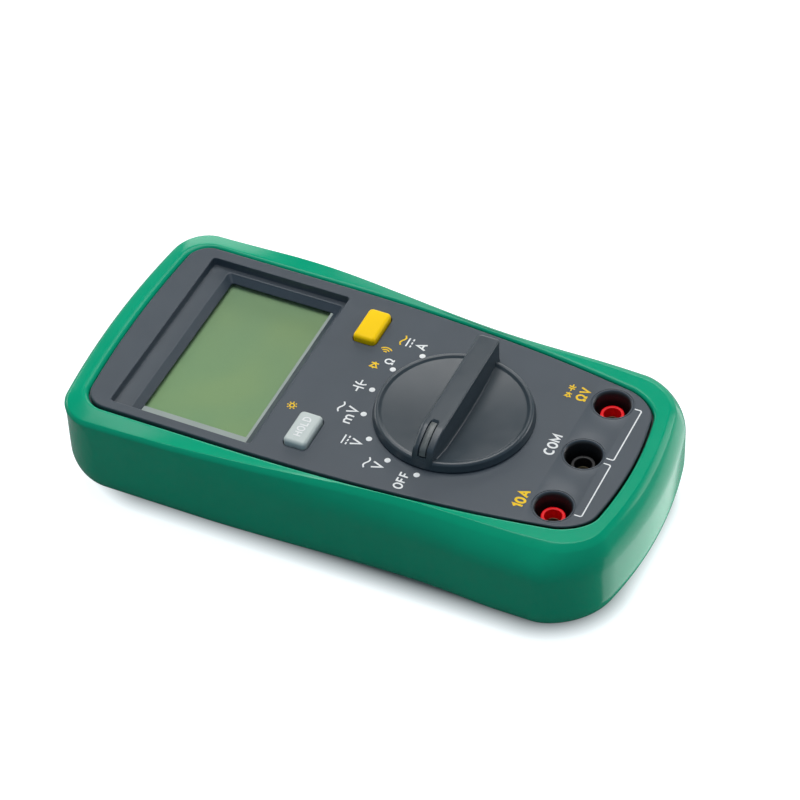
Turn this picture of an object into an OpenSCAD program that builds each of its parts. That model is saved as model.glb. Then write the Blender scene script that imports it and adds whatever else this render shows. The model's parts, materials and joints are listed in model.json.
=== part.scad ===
// Compact handheld multimeter lying on its back, jack end at -Y, display end at +Y.
// The origin is under the middle of the boot, on the surface that the meter lies on.

/* [Front panel] */
// Length of the grey face, jack end to display end
panel_l = 136.9; // [130:0.1:170]
// Width of the face beside the display
panel_w = 63.8; // [62:0.1:80]
// Width of the face where its taper reaches the jack end
panel_jack_w = 48.2; // [46:0.1:62]
// Length of the straight sides beside the display
panel_straight = 44.6; // [30:0.1:60]
// Height of the face above the table
panel_z = 29.2; // [28:0.1:40]
// Thickness of the face
panel_t = 2.2; // [1.6:0.1:3]
// Bevel along the edge of the face
panel_edge = 0.4; // [0.2:0.1:0.8]
// Corner radius at the jack end
jack_corner_r = 8; // [6:0.5:12]
// Corner radius at the display end
display_corner_r = 5.5; // [4:0.5:10]
// How far the jack end bows out
jack_bow = 3.0; // [0:0.1:5]
// How far the display end bows out
display_bow = 1.8; // [0:0.1:4]

/* [Case] */
// How far the case stands out past the edge of the face
case_lip = 0.8; // [0.5:0.1:1.5]
// Wall of both case halves
case_wall = 2.0; // [1.6:0.1:3]
// Depth of the groove between the face and the boot
groove_d = 2.0; // [1:0.1:4]
// Inset of the rear case at its bottom edge
rear_inset = 5.5; // [4:0.1:7]
// Height over which the rear case widens to its full outline
rear_flare = 7.0; // [5:0.1:9]

/* [Boot] */
// Clearance between boot and case
boot_gap = 0.3; // [0.1:0.05:0.6]
// Width of the groove between the face and the rim that holds the case in the boot
rim_gap = 0.45; // [0.3:0.05:0.7]
// Floor of the boot
boot_floor = 2.0; // [1.5:0.1:3]
// Width of the rim beside the display
rim_display = 6.3; // [4:0.1:8]
// Width of the rim at the waist
rim_waist = 2.1; // [1.9:0.05:5]
// Width of the rim beside the jacks
rim_jack = 6.5; // [4:0.1:8]
// Width of the rim at the jack end
rim_jack_end = 4.6; // [3:0.1:7]
// Width of the rim at the display end
rim_display_end = 6.2; // [3:0.1:7]
// How far the side wall stands out past the panel beside the display
side_display = 6.5; // [5:0.1:9]
// How far the side wall stands out past the straight panel line at the waist
side_waist = 4.4; // [2:0.1:8]
// How far the side wall stands out past the straight panel line beside the jacks
side_jack = 5.4; // [2:0.1:8]
// How far the boot stands out past the panel at the jack end
end_jack = 8.0; // [6:0.1:12]
// How far the boot stands out past the panel at the display end
end_display = 7.3; // [5:0.1:9]
// How far the rim falls away at the display end
crease_drop = 2.2; // [0:0.1:5]
// Bow of the jack end along the crease of the rim
crease_bow = 4.2; // [0:0.1:6]
// Bow of the jack end along the side wall
wall_bow = 6.4; // [0:0.1:8]
// Bow of the display end of the boot
boot_display_bow = 3.0; // [0:0.1:5]
// Radius round the bottom of the boot
bottom_r = 11; // [6:0.5:11.5]

/* [Display] */
// Width of the display recess
recess_w = 57; // [45:0.5:58]
// Length of the display recess
recess_l = 39.5; // [34:0.5:46]
// Face between the recess and the display end
recess_end = 7.8; // [6:0.1:12]
// Depth of the recess
recess_d = 2.4; // [1.5:0.1:3]
// Ledge along three sides of the recess
ledge = 1.5; // [1:0.1:3]
// Ledge along the display end of the recess
ledge_end = 5.0; // [3:0.1:7]
// Slope from the ledge down to the window
bevel = 1.75; // [1:0.05:2.2]
// Thickness of the display window
lens_t = 1.2; // [0.8:0.1:1.6]
// Thickness of the display glass
glass_t = 2.4; // [1.8:0.1:3]
// Thickness of the backlight panel
backlight_t = 2.6; // [1.5:0.1:3]

/* [Selector] */
// Distance from the jack end of the face to the knob axis
knob_from_end = 47.3; // [44:0.1:60]
// Diameter of the knob
knob_d = 40.8; // [34:0.1:44]
// Height of the knob rim above the face
knob_rim = 2.5; // [2:0.1:5]
// Height of the finger bar above the face
bar_h = 8.0; // [6:0.1:11]
// Width of the finger bar along its top
bar_w = 6.1; // [4.5:0.1:8]
// Width of the finger bar at its foot
bar_foot_w = 7.2; // [6.2:0.1:12]
// How far the tail of the finger bar stands out past the knob
bar_tail = 1.6; // [0:0.1:3]
// Length of the sloping nose at the pointing end of the bar
nose_l = 7.9; // [5:0.1:12]
// How far the nose slopes down before it turns into the end of the bar
nose_drop = 2.3; // [1:0.1:4]
// Diameter of the hub that turns in the face
hub_d = 15.8; // [12:0.1:18]
// Radial clearance of the hub
hub_gap = 0.08; // [0.03:0.01:0.1]
// Radius of the contact rotor
rotor_r = 15.5; // [13:0.1:16]
// Number of switch positions
positions = 7; // [4:1:8]
// Angle from one switch position to the next
position_step = 22.5; // [15:0.5:30]

/* [Keys] */
// Size of a key across the meter
key_w = 11.2; // [9:0.1:13]
// Size of a key along the meter
key_l = 6.2; // [5:0.1:8]
// Distance of the keys from the centre line
key_x = 20.2; // [17:0.1:22]
// Distance of the keys from the knob axis
key_from_knob = 32.0; // [29:0.1:35]
// Height of a key above the face
key_h = 1.8; // [1:0.1:3]
// Clearance round a key
key_gap = 0.25; // [0.15:0.05:0.5]
// Travel of a key
key_travel = 1.2; // [0.6:0.1:1.6]

/* [Jacks] */
// Distance between neighbouring jacks
jack_pitch = 19.0; // [15:0.1:20]
// Distance from the jack end of the face to the row of jacks
jack_from_end = 12.55; // [11:0.05:15]
// Diameter of a jack well in the face
well_d = 9.0; // [8:0.1:10]
// Wall of a jack well
well_wall = 1.2; // [0.8:0.1:1.5]
// Bore of a jack barrel, for a standard plug
plug_d = 4.0; // [3.5:0.1:4.5]
// Depth of the bore of a jack barrel
plug_depth = 16; // [12:0.5:18]
// Wall of a jack barrel
barrel_wall = 0.5; // [0.4:0.05:0.8]
// Wall of a coloured sleeve
sleeve_wall = 0.5; // [0.4:0.05:0.8]
// Distance from the face down to the top of a sleeve
sleeve_drop = 3.5; // [2:0.1:5]

/* [Battery] */
// Diameter of a cell
cell_d = 10.5; // [8:0.1:12.6]
// Length of a cell
cell_l = 44.5; // [40:0.1:50]
// Compressed length of a battery spring
spring_l = 3.3; // [2.5:0.1:5]
// Wall of the battery box
box_wall = 1.2; // [1:0.1:2]
// Thickness of the battery door
door_t = 1.5; // [1.2:0.1:2]

/* [Tilt stand] */
// Width of the stand
stand_w = 29; // [22:0.5:30]
// Length of the stand from its hinge
stand_l = 51; // [40:0.5:52]
// Thickness of the stand
stand_t = 3.0; // [2.4:0.1:3.2]
// Diameter of the hinge pins
stand_pin_d = 2.6; // [2:0.1:2.8]
// Radial clearance of the hinge pins
stand_pin_gap = 0.05; // [0.02:0.01:0.1]
// Clearance round the folded stand
stand_gap = 0.5; // [0.3:0.1:1]

/* [Fasteners] */
// Distance of the case screws from the centre line
screw_x = 19.3; // [18.5:0.1:20]
// Diameter of a case screw
screw_d = 2.8; // [2.2:0.1:3]
// Diameter of a screw head
head_d = 5.0; // [4:0.1:5.2]
// Height of a screw head
head_h = 1.8; // [1.2:0.1:2.2]

/* [Hidden] */
$fn = 64;
eps = 0.01;

// How far a cut runs past the face that it opens
over = 1;

// Fits
touch_gap = 0.1;
seat_gap = 0.3;
slip_gap = 0.05;

// Overall plan, with every length measured from the panel
boot_l = panel_l + end_jack + end_display;
panel_lo = -boot_l / 2 + end_jack;
panel_hi = panel_lo + panel_l;
taper_y = panel_hi - panel_straight;
taper_k = (panel_w - panel_jack_w) / 2 / pow(taper_y - panel_lo, 2);
knob_y = panel_lo + knob_from_end;
jack_y = panel_lo + jack_from_end;
key_y = knob_y + key_from_knob;
recess_hi = panel_hi - recess_end;
recess_lo = recess_hi - recess_l;
bow_reach = 40;

// Heights, built up from the table
plateau_z = 0.5;
case_z = boot_floor;
door_top = plateau_z + door_t;
cell_gap = 0.4;
cell_z = max(door_top, case_z) + cell_gap + cell_d / 2;
box_roof = cell_z + cell_d / 2 + cell_gap;
box_roof_t = 1.0;
board_z = box_roof + box_roof_t + seat_gap;
board_t = 1.6;
board_top = board_z + board_t;
part_drop = 0.5;
part_z = board_top - part_drop;
under_z = panel_z - panel_t;
step_z = panel_z - groove_d;
tongue_h = 1.4;

// Display stack, hung from the face
lens_top = panel_z - recess_d - bevel;
lens_z = lens_top - lens_t;
glass_z = lens_z - glass_t;
backlight_z = glass_z - backlight_t;
window_w = recess_w - 2 * (ledge + bevel);
window_lo = recess_lo + ledge + bevel;
window_hi = recess_hi - ledge_end - bevel;
lens_margin = 1.6;
glass_inset = 0.4;
lens_w = window_w + 2 * lens_margin;
lens_lo = window_lo - lens_margin;
lens_hi = window_hi + lens_margin;
holder_wall = 0.8;
well_rim = 1.5;
strip_t = 2.4;
strip_in = 0.6;
strip_short = 2;

// Selector stack
knob_lift = 0.3;
hub_r = hub_d / 2;
hub_bore_r = hub_r + hub_gap;
collar_r = hub_bore_r + 2;
collar_lift = 1.7;
rotor_lift = 1.9;
rotor_z = board_top + rotor_lift;
rotor_t = 3.2;
rotor_top = rotor_z + rotor_t;
collar_z = rotor_top + collar_lift;
ball_r = 1.2;
ball_out = 0.4;
ball_at = rotor_r + ball_out;
switch_r = ball_at + ball_r + touch_gap;
switch_wall = 1.6;
switch_drop = 0.4;
notch_out = 0.5;
detent_in = 6;
track_t = 0.1;
track_in = 6;
track_out = 14;
track_pitch = 2.2;
track_w = 1.4;
track_gap = 6;
pointer_w = 1.6;
pointer_l = 8.5;
pointer_d = 0.6;
pointer_gap = 0.35;
pointer_foot = 1.0;
bar_in = 0.2;
head_proud = 0.4;
rotor_screw_in = 6;

// Keys
dome_h = key_travel + 1.4;
key_floor = board_top + dome_h + touch_gap;
flange_t = 1.2;
flange_out = 1.0;
flange_z = under_z - touch_gap - flange_t;

// Jacks
well_r = well_d / 2;
plug_r = plug_d / 2;
barrel_r = plug_r + barrel_wall;
sleeve_in = barrel_r + slip_gap;
sleeve_r = sleeve_in + sleeve_wall;
sleeve_top = panel_z - sleeve_drop;
sleeve_lip = 3.0;
barrel_top = sleeve_top - sleeve_lip;
barrel_end_t = 1;
barrel_z = barrel_top - plug_depth - barrel_end_t;
flange_r = well_r - touch_gap;
barrel_flange_t = 0.8;
sleeve_foot = board_top + barrel_flange_t;
sleeve_flange_t = 1.5;
sleeve_edge = 0.2;
sleeve_gap = 0.35;
well_bevel = 0.65;

// Battery box and door
cell_apart = 0.5;
cell_pitch = cell_d + cell_apart;
box_hw = (cell_pitch + cell_d) / 2 + seat_gap;
plate_t = 0.4;
cell_play = 0.5;
box_l = spring_l + cell_l + plate_t + cell_play;
back_hw = 23;
back_r = 7;
back_jack_r = 12;
back_taper_share = 0.26;
back_jack_inset = back_taper_share * (taper_y - panel_lo) - back_jack_r;
back_display_inset = 6.3;
back_lo = panel_lo + back_jack_inset;
back_hi = panel_hi - back_display_inset;
door_margin = 1.5;
door_lap = 1.6;
door_tuck = 1.0;
door_corner_r = 2;
door_gap = 0.2;
door_hi = back_hi - door_margin;
door_hw = box_hw + door_lap;
door_screw_r = 1.2;
door_head = 1.1;
door_screw_in = 3.2;
door_screw_room = 3.4;
door_screw_y = door_hi - door_screw_in;
box_hi = door_screw_y - door_screw_room;
box_lo = box_hi - box_l;
door_lo = box_lo - door_tuck;

// Tilt stand
hinge_room = 3.2;
stand_inset = 0.6;
hinge_y = box_lo - box_wall - hinge_room;
hinge_z = plateau_z + stand_inset + stand_t / 2;
pin_r = stand_pin_d / 2;
pin_bore_r = pin_r + stand_pin_gap;
pin_l = 2.4;
pin_wall = 2;
hinge_block = 3.5;
pocket_hw = stand_w / 2 + stand_gap;
pocket_lo = hinge_y - stand_l - stand_gap;
pocket_hi = hinge_y + stand_t / 2 + stand_gap;
pocket_top = hinge_z + stand_t / 2 + stand_gap;
pocket_roof = 1.5;
scoop_r = 7;
scoop_reach = 3.2;
scoop_d = 2.4;

// Case screws
screw_r = screw_d / 2;
head_r = head_d / 2;
boss_r = 2.6;
rear_boss_r = 3.6;
head_gap = 0.2;
head_bore_r = head_r + head_gap;
head_deep = 0.5;
head_seat = case_z + case_wall + head_deep;
screw_short = 4;
screw_top = under_z - screw_short;
screw_from_window = 14.8;
screw_from_back = 3.1;
screw_lo_y = back_lo + screw_from_window;
screw_hi_y = back_hi - screw_from_back;
slot_w = 0.6;
slot_d = 0.6;

// Curves

function mix(a, b, t) = a + (b - a) * t;
function clamp01(t) = min(1, max(0, t));
function ease(t) = let (c = clamp01(t)) c * c * (3 - 2 * c);
function arc(c, r, a0, a1, n) =
    [for (i = [0:n]) let (a = mix(a0, a1, i / n)) [c[0] + r * cos(a), c[1] + r * sin(a)]];

// Closed outline from its right half, which runs from the jack end to the display end
function mirrored(h) = concat(h, [for (i = [len(h) - 2:-1:1]) [-h[i][0], h[i][1]]]);

// Steps along the ends, corners and sides of an outline
end_n = 4;
corner_n = 6;
side_n = 16;

// Rounded rectangle from y0 to y1 with its own corner radius at each end
function slab_ring(hw, y0, y1, r0, r1) = mirrored(concat(
    [for (i = [0:end_n - 1]) [(hw - r0) * i / end_n, y0]],
    arc([hw - r0, y0 + r0], r0, -90, 0, corner_n),
    [for (i = [1:side_n - 1]) [hw, mix(y0 + r0, y1 - r1, i / side_n)]],
    arc([hw - r1, y1 - r1], r1, 0, 90, corner_n),
    [for (i = [1:end_n]) [(hw - r1) * (1 - i / end_n), y1]]));

// Both ends of an outline bow outwards, most at the centre line
function bowed(y, s, y0, y1, b0, b1) =
    y + s * s * (b0 * ease(1 - (y - y0) / bow_reach) - b1 * ease(1 - (y1 - y) / bow_reach));

// Half width of the face, which tapers to the jack end along a parabola
function panel_hw(y) = panel_w / 2 - taper_k * pow(max(0, taper_y - y), 2);

// Outline of the face, grown by g
function panel_ring(g) =
    let (hw = panel_w / 2 + g, y0 = panel_lo - g, y1 = panel_hi + g)
    [for (p = slab_ring(hw, y0, y1, jack_corner_r + g, display_corner_r + g))
        let (s = p[0] / hw)
        [s * (panel_hw(p[1]) + g), bowed(p[1], s, y0, y1, jack_bow, display_bow)]];

// Rim width and side wall of the boot along its length, both least at the waist
waist_y = knob_y + 4;
rim_reach = [56, 62];
wall_waist_y = knob_y - 4;
wall_reach = [25, 60];
function rim_w(y) = rim_waist
    + (rim_jack - rim_waist) * ease((waist_y - y) / rim_reach[0])
    + (rim_display - rim_waist) * ease((y - waist_y) / rim_reach[1]);
function side_w(y) = side_waist
    + (side_jack - side_waist) * ease((wall_waist_y - y) / wall_reach[0])
    + (side_display - side_waist) * ease((y - wall_waist_y) / wall_reach[1]);

// Outline of the boot: m runs from the crease of the rim (0) to the side wall (1), inset by d
crease_corner = [9, 8.3];
wall_corner = [14.7, 12.3];
function boot_hw(y, m) = max(mix(panel_hw(y) + rim_w(y), panel_w / 2 + side_w(y), m),
    panel_hw(y) + rim_w(y));
function boot_ring(m, d) =
    let (hw = panel_w / 2 + side_display - d,
        y0 = panel_lo - mix(rim_jack_end, end_jack, m) + d,
        y1 = panel_hi + mix(rim_display_end, end_display, m) - d,
        r0 = mix(crease_corner[0], wall_corner[0], m) - d,
        r1 = mix(crease_corner[1], wall_corner[1], m) - d)
    [for (p = slab_ring(hw, y0, y1, r0, r1))
        let (s = p[0] / hw)
        [s * (boot_hw(p[1], m) - d),
            bowed(p[1], s, y0, y1, mix(crease_bow, wall_bow, m), boot_display_bow)]];

// Height of the crease, which falls away towards the display end
function crease_z(y) = panel_z - crease_drop * ease((y - taper_y) / panel_straight);

function lifted(ring, z) = [for (p = ring) [p[0], p[1], z]];
function draped(ring, t, z_mid) = [for (p = ring) [p[0], p[1], mix(crease_z(p[1]), z_mid, t)]];

// Solid through a stack of rings, bottom ring first
module loft(rings, closed = false) {
    n = len(rings[0]);
    m = len(rings);
    bands = closed ? m : m - 1;
    sides = [for (k = [0:bands - 1], i = [0:n - 1])
        let (j = (i + 1) % n, a = k * n, b = ((k + 1) % m) * n)
        each [[a + i, b + i, b + j], [a + i, b + j, a + j]]];
    caps = closed ? [] : [[for (i = [0:n - 1]) i], [for (i = [n - 1:-1:0]) (m - 1) * n + i]];
    polyhedron([for (r = rings) each r], concat(sides, caps));
}

module prism(ring, z0, z1) {
    translate([0, 0, z0]) linear_extrude(z1 - z0) polygon(ring);
}

module block(x0, x1, y0, y1, z0, z1) {
    translate([x0, y0, z0]) cube([x1 - x0, y1 - y0, z1 - z0]);
}

module post(x, y, r, z0, z1) {
    translate([x, y, z0]) cylinder(r = r, h = z1 - z0);
}

module tube(x, y, r_in, r_out, z0, z1) {
    translate([x, y, z0]) linear_extrude(z1 - z0) difference() {
        circle(r_out);
        circle(r_in);
    }
}

module both_sides() {
    children();
    mirror([1, 0, 0]) children();
}

// Wire helix along +Z between two flat turns, its radius running from r0 to r1
module coil(r0, r1, h, turns, wire_r) {
    steps = 10 * turns;
    sides = 6;
    function at(i) = let (t = i / steps, a = 36 * i, r = mix(r0, r1, t))
        [r * cos(a), r * sin(a), mix(wire_r, h - wire_r, t)];
    loft([for (i = [0:steps]) let (c = at(i), a = 36 * i)
        [for (k = [0:sides - 1]) let (b = 360 * k / sides)
            [c[0] + wire_r * cos(b) * cos(a), c[1] + wire_r * cos(b) * sin(a),
                c[2] + wire_r * sin(b)]]]);
}

// Places shared by case, board and screws
module at_screws() {
    for (x = [-screw_x, screw_x], y = [screw_lo_y, screw_hi_y]) translate([x, y, 0]) children();
}

module at_jacks() {
    for (i = [-1:1]) translate([i * jack_pitch, jack_y, 0]) children();
}

// Window in the floor of the boot, inset by d
function back_ring(d) =
    slab_ring(back_hw - d, back_lo + d, back_hi - d, back_jack_r - d, back_r - d);

// Casing

// Height at which the side wall stands furthest out, as a share of the panel's height
flare_share = 0.7;

module protective_boot() {
    flare_z = panel_z * flare_share;
    turn = [for (a = [75:-15:0]) [bottom_r * (1 - cos(a)), bottom_r * (1 - sin(a))]];
    bead = 0.3;
    rim_z = panel_z + bead;
    inner = case_lip + boot_gap;
    crease_r = 0.5;
    fall = [0.72, 0.45, 0.22, 0.08];
    band = [0.6, 0.8];
    rings = concat(
        [lifted(back_ring(0), 0), lifted(boot_ring(1, bottom_r), 0)],
        [for (t = turn) lifted(boot_ring(1, t[0]), t[1])],
        [draped(boot_ring(1, 0), 1, flare_z)],
        [for (t = fall) draped(boot_ring(1 - pow(1 - t, 2), 0), t, flare_z)],
        [draped(boot_ring(0, crease_r / 5), 0.02, flare_z), draped(boot_ring(0, crease_r), 0, flare_z)],
        [[for (i = [0:len(panel_ring(0)) - 1])
            let (c = boot_ring(0, crease_r)[i], p = panel_ring(rim_gap + bead)[i])
            [mix(c[0], p[0], band[0]), mix(c[1], p[1], band[0]), mix(crease_z(c[1]), rim_z, band[1])]]],
        [lifted(panel_ring(rim_gap + bead), rim_z), lifted(panel_ring(rim_gap), rim_z - bead)],
        [lifted(panel_ring(rim_gap), step_z + touch_gap), lifted(panel_ring(inner), step_z + touch_gap)],
        [lifted(panel_ring(inner), case_z + rear_flare)],
        [lifted(panel_ring(case_lip - rear_inset + boot_gap), case_z)],
        [lifted(back_ring(0), case_z)]);
    color("mediumseagreen") loft(rings, closed = true);
}

module front_case() {
    color("dimgray") difference() {
        union() {
            difference() {
                loft([lifted(panel_ring(case_lip), part_z), lifted(panel_ring(case_lip), step_z),
                    lifted(panel_ring(0), step_z), lifted(panel_ring(0), panel_z - panel_edge),
                    lifted(panel_ring(-panel_edge), panel_z)]);
                prism(panel_ring(case_lip - case_wall), part_z - over, under_z);
            }
            block(-recess_w / 2 - well_rim, recess_w / 2 + well_rim,
                recess_lo - well_rim, recess_hi + well_rim, lens_z, under_z + eps);
            post(0, knob_y, collar_r, collar_z, under_z + eps);
            tube(0, knob_y, switch_r, switch_r + switch_wall, rotor_z - switch_drop, under_z + eps);
            at_jacks() post(0, 0, well_r + well_wall, sleeve_foot + touch_gap, under_z + eps);
            at_screws() post(0, 0, boss_r, board_top, under_z + eps);
        }
        display_cut();
        post(0, knob_y, hub_bore_r, 0, panel_z + over);
        for (a = [0:positions - 1], side = [0, 180])
            translate([0, knob_y, 0]) rotate(90 + side - a * position_step)
                post(switch_r + notch_out, 0, ball_r, 0, rotor_top);
        for (x = [-key_x, key_x])
            prism([for (p = key_ring(key_gap)) p + [x, key_y]], under_z - over, panel_z + over);
        at_jacks() {
            post(0, 0, well_r, 0, panel_z + over);
            translate([0, 0, panel_z - well_bevel + eps])
                cylinder(r1 = well_r, r2 = well_r + well_bevel, h = well_bevel);
        }
        at_screws() post(0, 0, screw_r + slip_gap, 0, screw_top + over);
        prism(panel_ring(case_lip - case_wall / 2), part_z - over, part_z + tongue_h + touch_gap);
    }
}

// Recess, sloped frame and window seat of the display
module display_cut() {
    block(-recess_w / 2, recess_w / 2, recess_lo, recess_hi, panel_z - recess_d, panel_z + over);
    hull() {
        block(-window_w / 2 - bevel, window_w / 2 + bevel, window_lo - bevel, window_hi + bevel,
            lens_top + bevel, lens_top + bevel + eps);
        block(-window_w / 2, window_w / 2, window_lo, window_hi, lens_top - eps, lens_top);
    }
    block(-lens_w / 2 - touch_gap, lens_w / 2 + touch_gap, lens_lo - touch_gap,
        lens_hi + touch_gap, lens_z - over, lens_top);
}

// Outer form of the rear case, which widens from its bottom edge
module rear_form() {
    loft([lifted(panel_ring(case_lip - rear_inset), case_z),
        lifted(panel_ring(case_lip), case_z + rear_flare), lifted(panel_ring(case_lip), part_z)]);
}

module rear_case() {
    wide_z = case_z + rear_flare;
    corner_t = 0.6;
    color("dimgray") difference() {
        union() {
            difference() {
                rear_form();
                loft([lifted(panel_ring(case_lip - rear_inset - corner_t), case_z + case_wall),
                    lifted(panel_ring(case_lip - case_wall), wide_z + corner_t),
                    lifted(panel_ring(case_lip - case_wall), part_z + over)]);
            }
            prism(back_ring(boot_gap), plateau_z, case_z + eps);
            difference() {
                prism(panel_ring(case_lip - case_wall / 2 - touch_gap), part_z - tongue_h,
                    part_z + tongue_h);
                prism(panel_ring(case_lip - case_wall), part_z - 2 * tongue_h, part_z + 2 * tongue_h);
            }
            block(-box_hw - box_wall, box_hw + box_wall, box_lo - box_wall, box_hi + box_wall,
                case_z, box_roof + box_roof_t);
            block(-pocket_hw - box_wall, pocket_hw + box_wall, pocket_lo - box_wall,
                pocket_hi + box_wall, case_z, pocket_top + pocket_roof);
            both_sides() block(pocket_hw, pocket_hw + pin_l + pin_wall, hinge_y - hinge_block,
                hinge_y + hinge_block, case_z, hinge_z + hinge_block);
            at_screws() post(0, 0, rear_boss_r, case_z, board_z);
            post(0, door_screw_y, boss_r, case_z, box_roof);
        }
        block(-box_hw, box_hw, box_lo, box_hi, 0, box_roof);
        prism(door_ring(door_gap), 0, door_top);
        post(0, door_screw_y, door_screw_r + slip_gap, 0, box_roof - box_wall);
        block(-pocket_hw, pocket_hw, pocket_lo, pocket_hi, 0, pocket_top);
        post(0, pocket_lo + scoop_r - scoop_reach, scoop_r, 0, plateau_z + scoop_d);
        both_sides() translate([pocket_hw - over, hinge_y, hinge_z]) rotate([0, 90, 0])
            cylinder(r = pin_bore_r, h = pin_l + over + touch_gap);
        at_screws() {
            post(0, 0, head_bore_r, 0, head_seat);
            post(0, 0, screw_r + slip_gap, 0, board_z + over);
        }
    }
}

function door_ring(g) =
    slab_ring(door_hw + g, door_lo - g, door_hi + g, door_corner_r + g, door_corner_r + g);

// Door with two tabs behind the box wall, thumb grooves and a countersunk screw hole
module battery_door() {
    tab_x = [3, 7];
    tab_h = 2;
    groove_hw = 5;
    groove_pitch = 2;
    groove_depth = 0.4;
    color("dimgray") difference() {
        union() {
            prism(door_ring(0), plateau_z, door_top);
            both_sides() block(tab_x[0], tab_x[1], box_lo + door_gap, box_lo + door_gap + tab_h / 2,
                door_top - eps, door_top + tab_h);
        }
        post(0, door_screw_y, door_screw_r + slip_gap, 0, door_top + over);
        translate([0, door_screw_y, plateau_z - eps]) cylinder(r1 = door_screw_r + door_head + touch_gap,
            r2 = door_screw_r + slip_gap, h = door_head + slip_gap);
        for (i = [1:4]) translate([0, door_lo + groove_pitch * i, 0])
            block(-groove_hw, groove_hw, 0, groove_pitch / 2, 0, plateau_z + groove_depth);
    }
}

module battery_door_screw() {
    color("silver") difference() {
        union() {
            translate([0, door_screw_y, plateau_z])
                cylinder(r1 = door_screw_r + door_head, r2 = door_screw_r, h = door_head);
            post(0, door_screw_y, door_screw_r, plateau_z + slot_d, box_roof - 2 * box_wall);
        }
        cross_slot(0, door_screw_y, plateau_z, door_screw_r);
    }
}

// Cross recess of a screw head that faces down
module cross_slot(x, y, z, r) {
    for (a = [0, 90]) translate([x, y, z]) rotate(a) cube([2 * r, slot_w, 2 * slot_d], center = true);
}

module case_screws() {
    color("silver") at_screws() difference() {
        union() {
            post(0, 0, head_r, head_seat - head_h, head_seat);
            post(0, 0, screw_r, head_seat - eps, screw_top);
        }
        cross_slot(0, 0, head_seat - head_h, screw_r);
    }
}

// Stand that folds into the back, hinged towards the display end
module tilt_stand() {
    hw = stand_w / 2;
    low = hinge_z - stand_t / 2;
    foot = hinge_y - stand_l;
    corner_r = 6;
    skin = 1.4;
    rib = 1.6;
    frame = [9, 7];
    bay_w = (stand_w - 4 * rib) / 3;
    nail_r = 1.2;
    nail_l = 10;
    color("dimgray") difference() {
        union() {
            prism(slab_ring(hw, foot, hinge_y, corner_r, eps), low, low + stand_t);
            translate([-hw, hinge_y, hinge_z]) rotate([0, 90, 0])
                cylinder(r = stand_t / 2, h = stand_w);
            translate([-hw - pin_l, hinge_y, hinge_z]) rotate([0, 90, 0])
                cylinder(r = pin_r, h = stand_w + 2 * pin_l);
        }
        for (i = [-1:1]) translate([i * (bay_w + rib), 0, 0])
            prism(slab_ring(bay_w / 2, foot + frame[0], hinge_y - frame[1], rib, rib),
                low + skin, low + stand_t + over);
        translate([-nail_l / 2, foot, low]) rotate([0, 90, 0]) cylinder(r = nail_r, h = nail_l);
    }
}

// Display

module display_window() {
    color("lightcyan", 0.4)
        block(-lens_w / 2, lens_w / 2, lens_lo, lens_hi, lens_z, lens_top);
}

module display_glass() {
    color("darkseagreen")
        block(-lens_w / 2 + glass_inset, lens_w / 2 - glass_inset, lens_lo + glass_inset,
            lens_hi - glass_inset, glass_z, lens_z);
}

module display_holder() {
    out = holder_wall;
    color("white") difference() {
        block(-lens_w / 2 - out, lens_w / 2 + out, lens_lo - out, lens_hi + out,
            board_top, lens_z - touch_gap);
        block(-lens_w / 2 + seat_gap, lens_w / 2 - seat_gap, lens_lo + seat_gap, lens_hi - seat_gap,
            board_top - over, lens_z + over);
    }
}

module backlight_panel() {
    leg_in = 4.5;
    leg_r = 1.5;
    color("ivory") union() {
        block(-lens_w / 2 + glass_inset, lens_w / 2 - glass_inset,
            lens_lo + strip_in + strip_t + glass_inset, lens_hi - glass_inset, backlight_z, glass_z);
        both_sides() for (y = [lens_lo + 2 * leg_in, lens_hi - leg_in])
            post(lens_w / 2 - leg_in, y, leg_r, board_top, backlight_z + eps);
    }
}

module connector_strip() {
    color("lightpink") block(-lens_w / 2 + strip_short, lens_w / 2 - strip_short,
        lens_lo + strip_in, lens_lo + strip_in + strip_t, board_top, glass_z);
}

// Board

module main_board() {
    edge_gap = 0.5;
    hub_hole_r = 3.2;
    color("darkgreen") difference() {
        prism(panel_ring(case_lip - case_wall - edge_gap), board_z, board_top);
        at_jacks() post(0, 0, barrel_r + slip_gap, 0, panel_z);
        at_screws() post(0, 0, screw_r + seat_gap, 0, panel_z);
        post(0, knob_y, hub_hole_r, 0, panel_z);
    }
}

module switch_tracks() {
    pads = 2 * positions;
    color("goldenrod") translate([0, knob_y, board_top]) for (r = [track_in:track_pitch:track_out])
        for (a = [0:pads - 1]) rotate(a * 360 / pads)
            rotate_extrude(angle = 360 / pads - track_gap) translate([r, 0]) square([track_w, track_t]);
}

// Selector

// Section of the finger bar where its top has dropped by d and its sides are drawn in by e
bar_round = 0.6;
function bar_section(x, d, e) =
    let (base = panel_z + knob_lift, top = max(panel_z + bar_h - d, base + 0.2),
        r = min(bar_round, (top - base) / 2), hw = bar_w / 2 - e,
        spread = (bar_foot_w - bar_w) / 2 * max(0, 1 - pow(2 * x / knob_d, 4)) * (top - base) / bar_h,
        half = concat([[hw + spread, base]], arc([hw - r, top - r], r, 15, 90, 4)))
    [for (p = concat(half, [for (i = [len(half) - 1:-1:0]) [-half[i][0], half[i][1]]])) [x, p[0], p[1]]];

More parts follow.
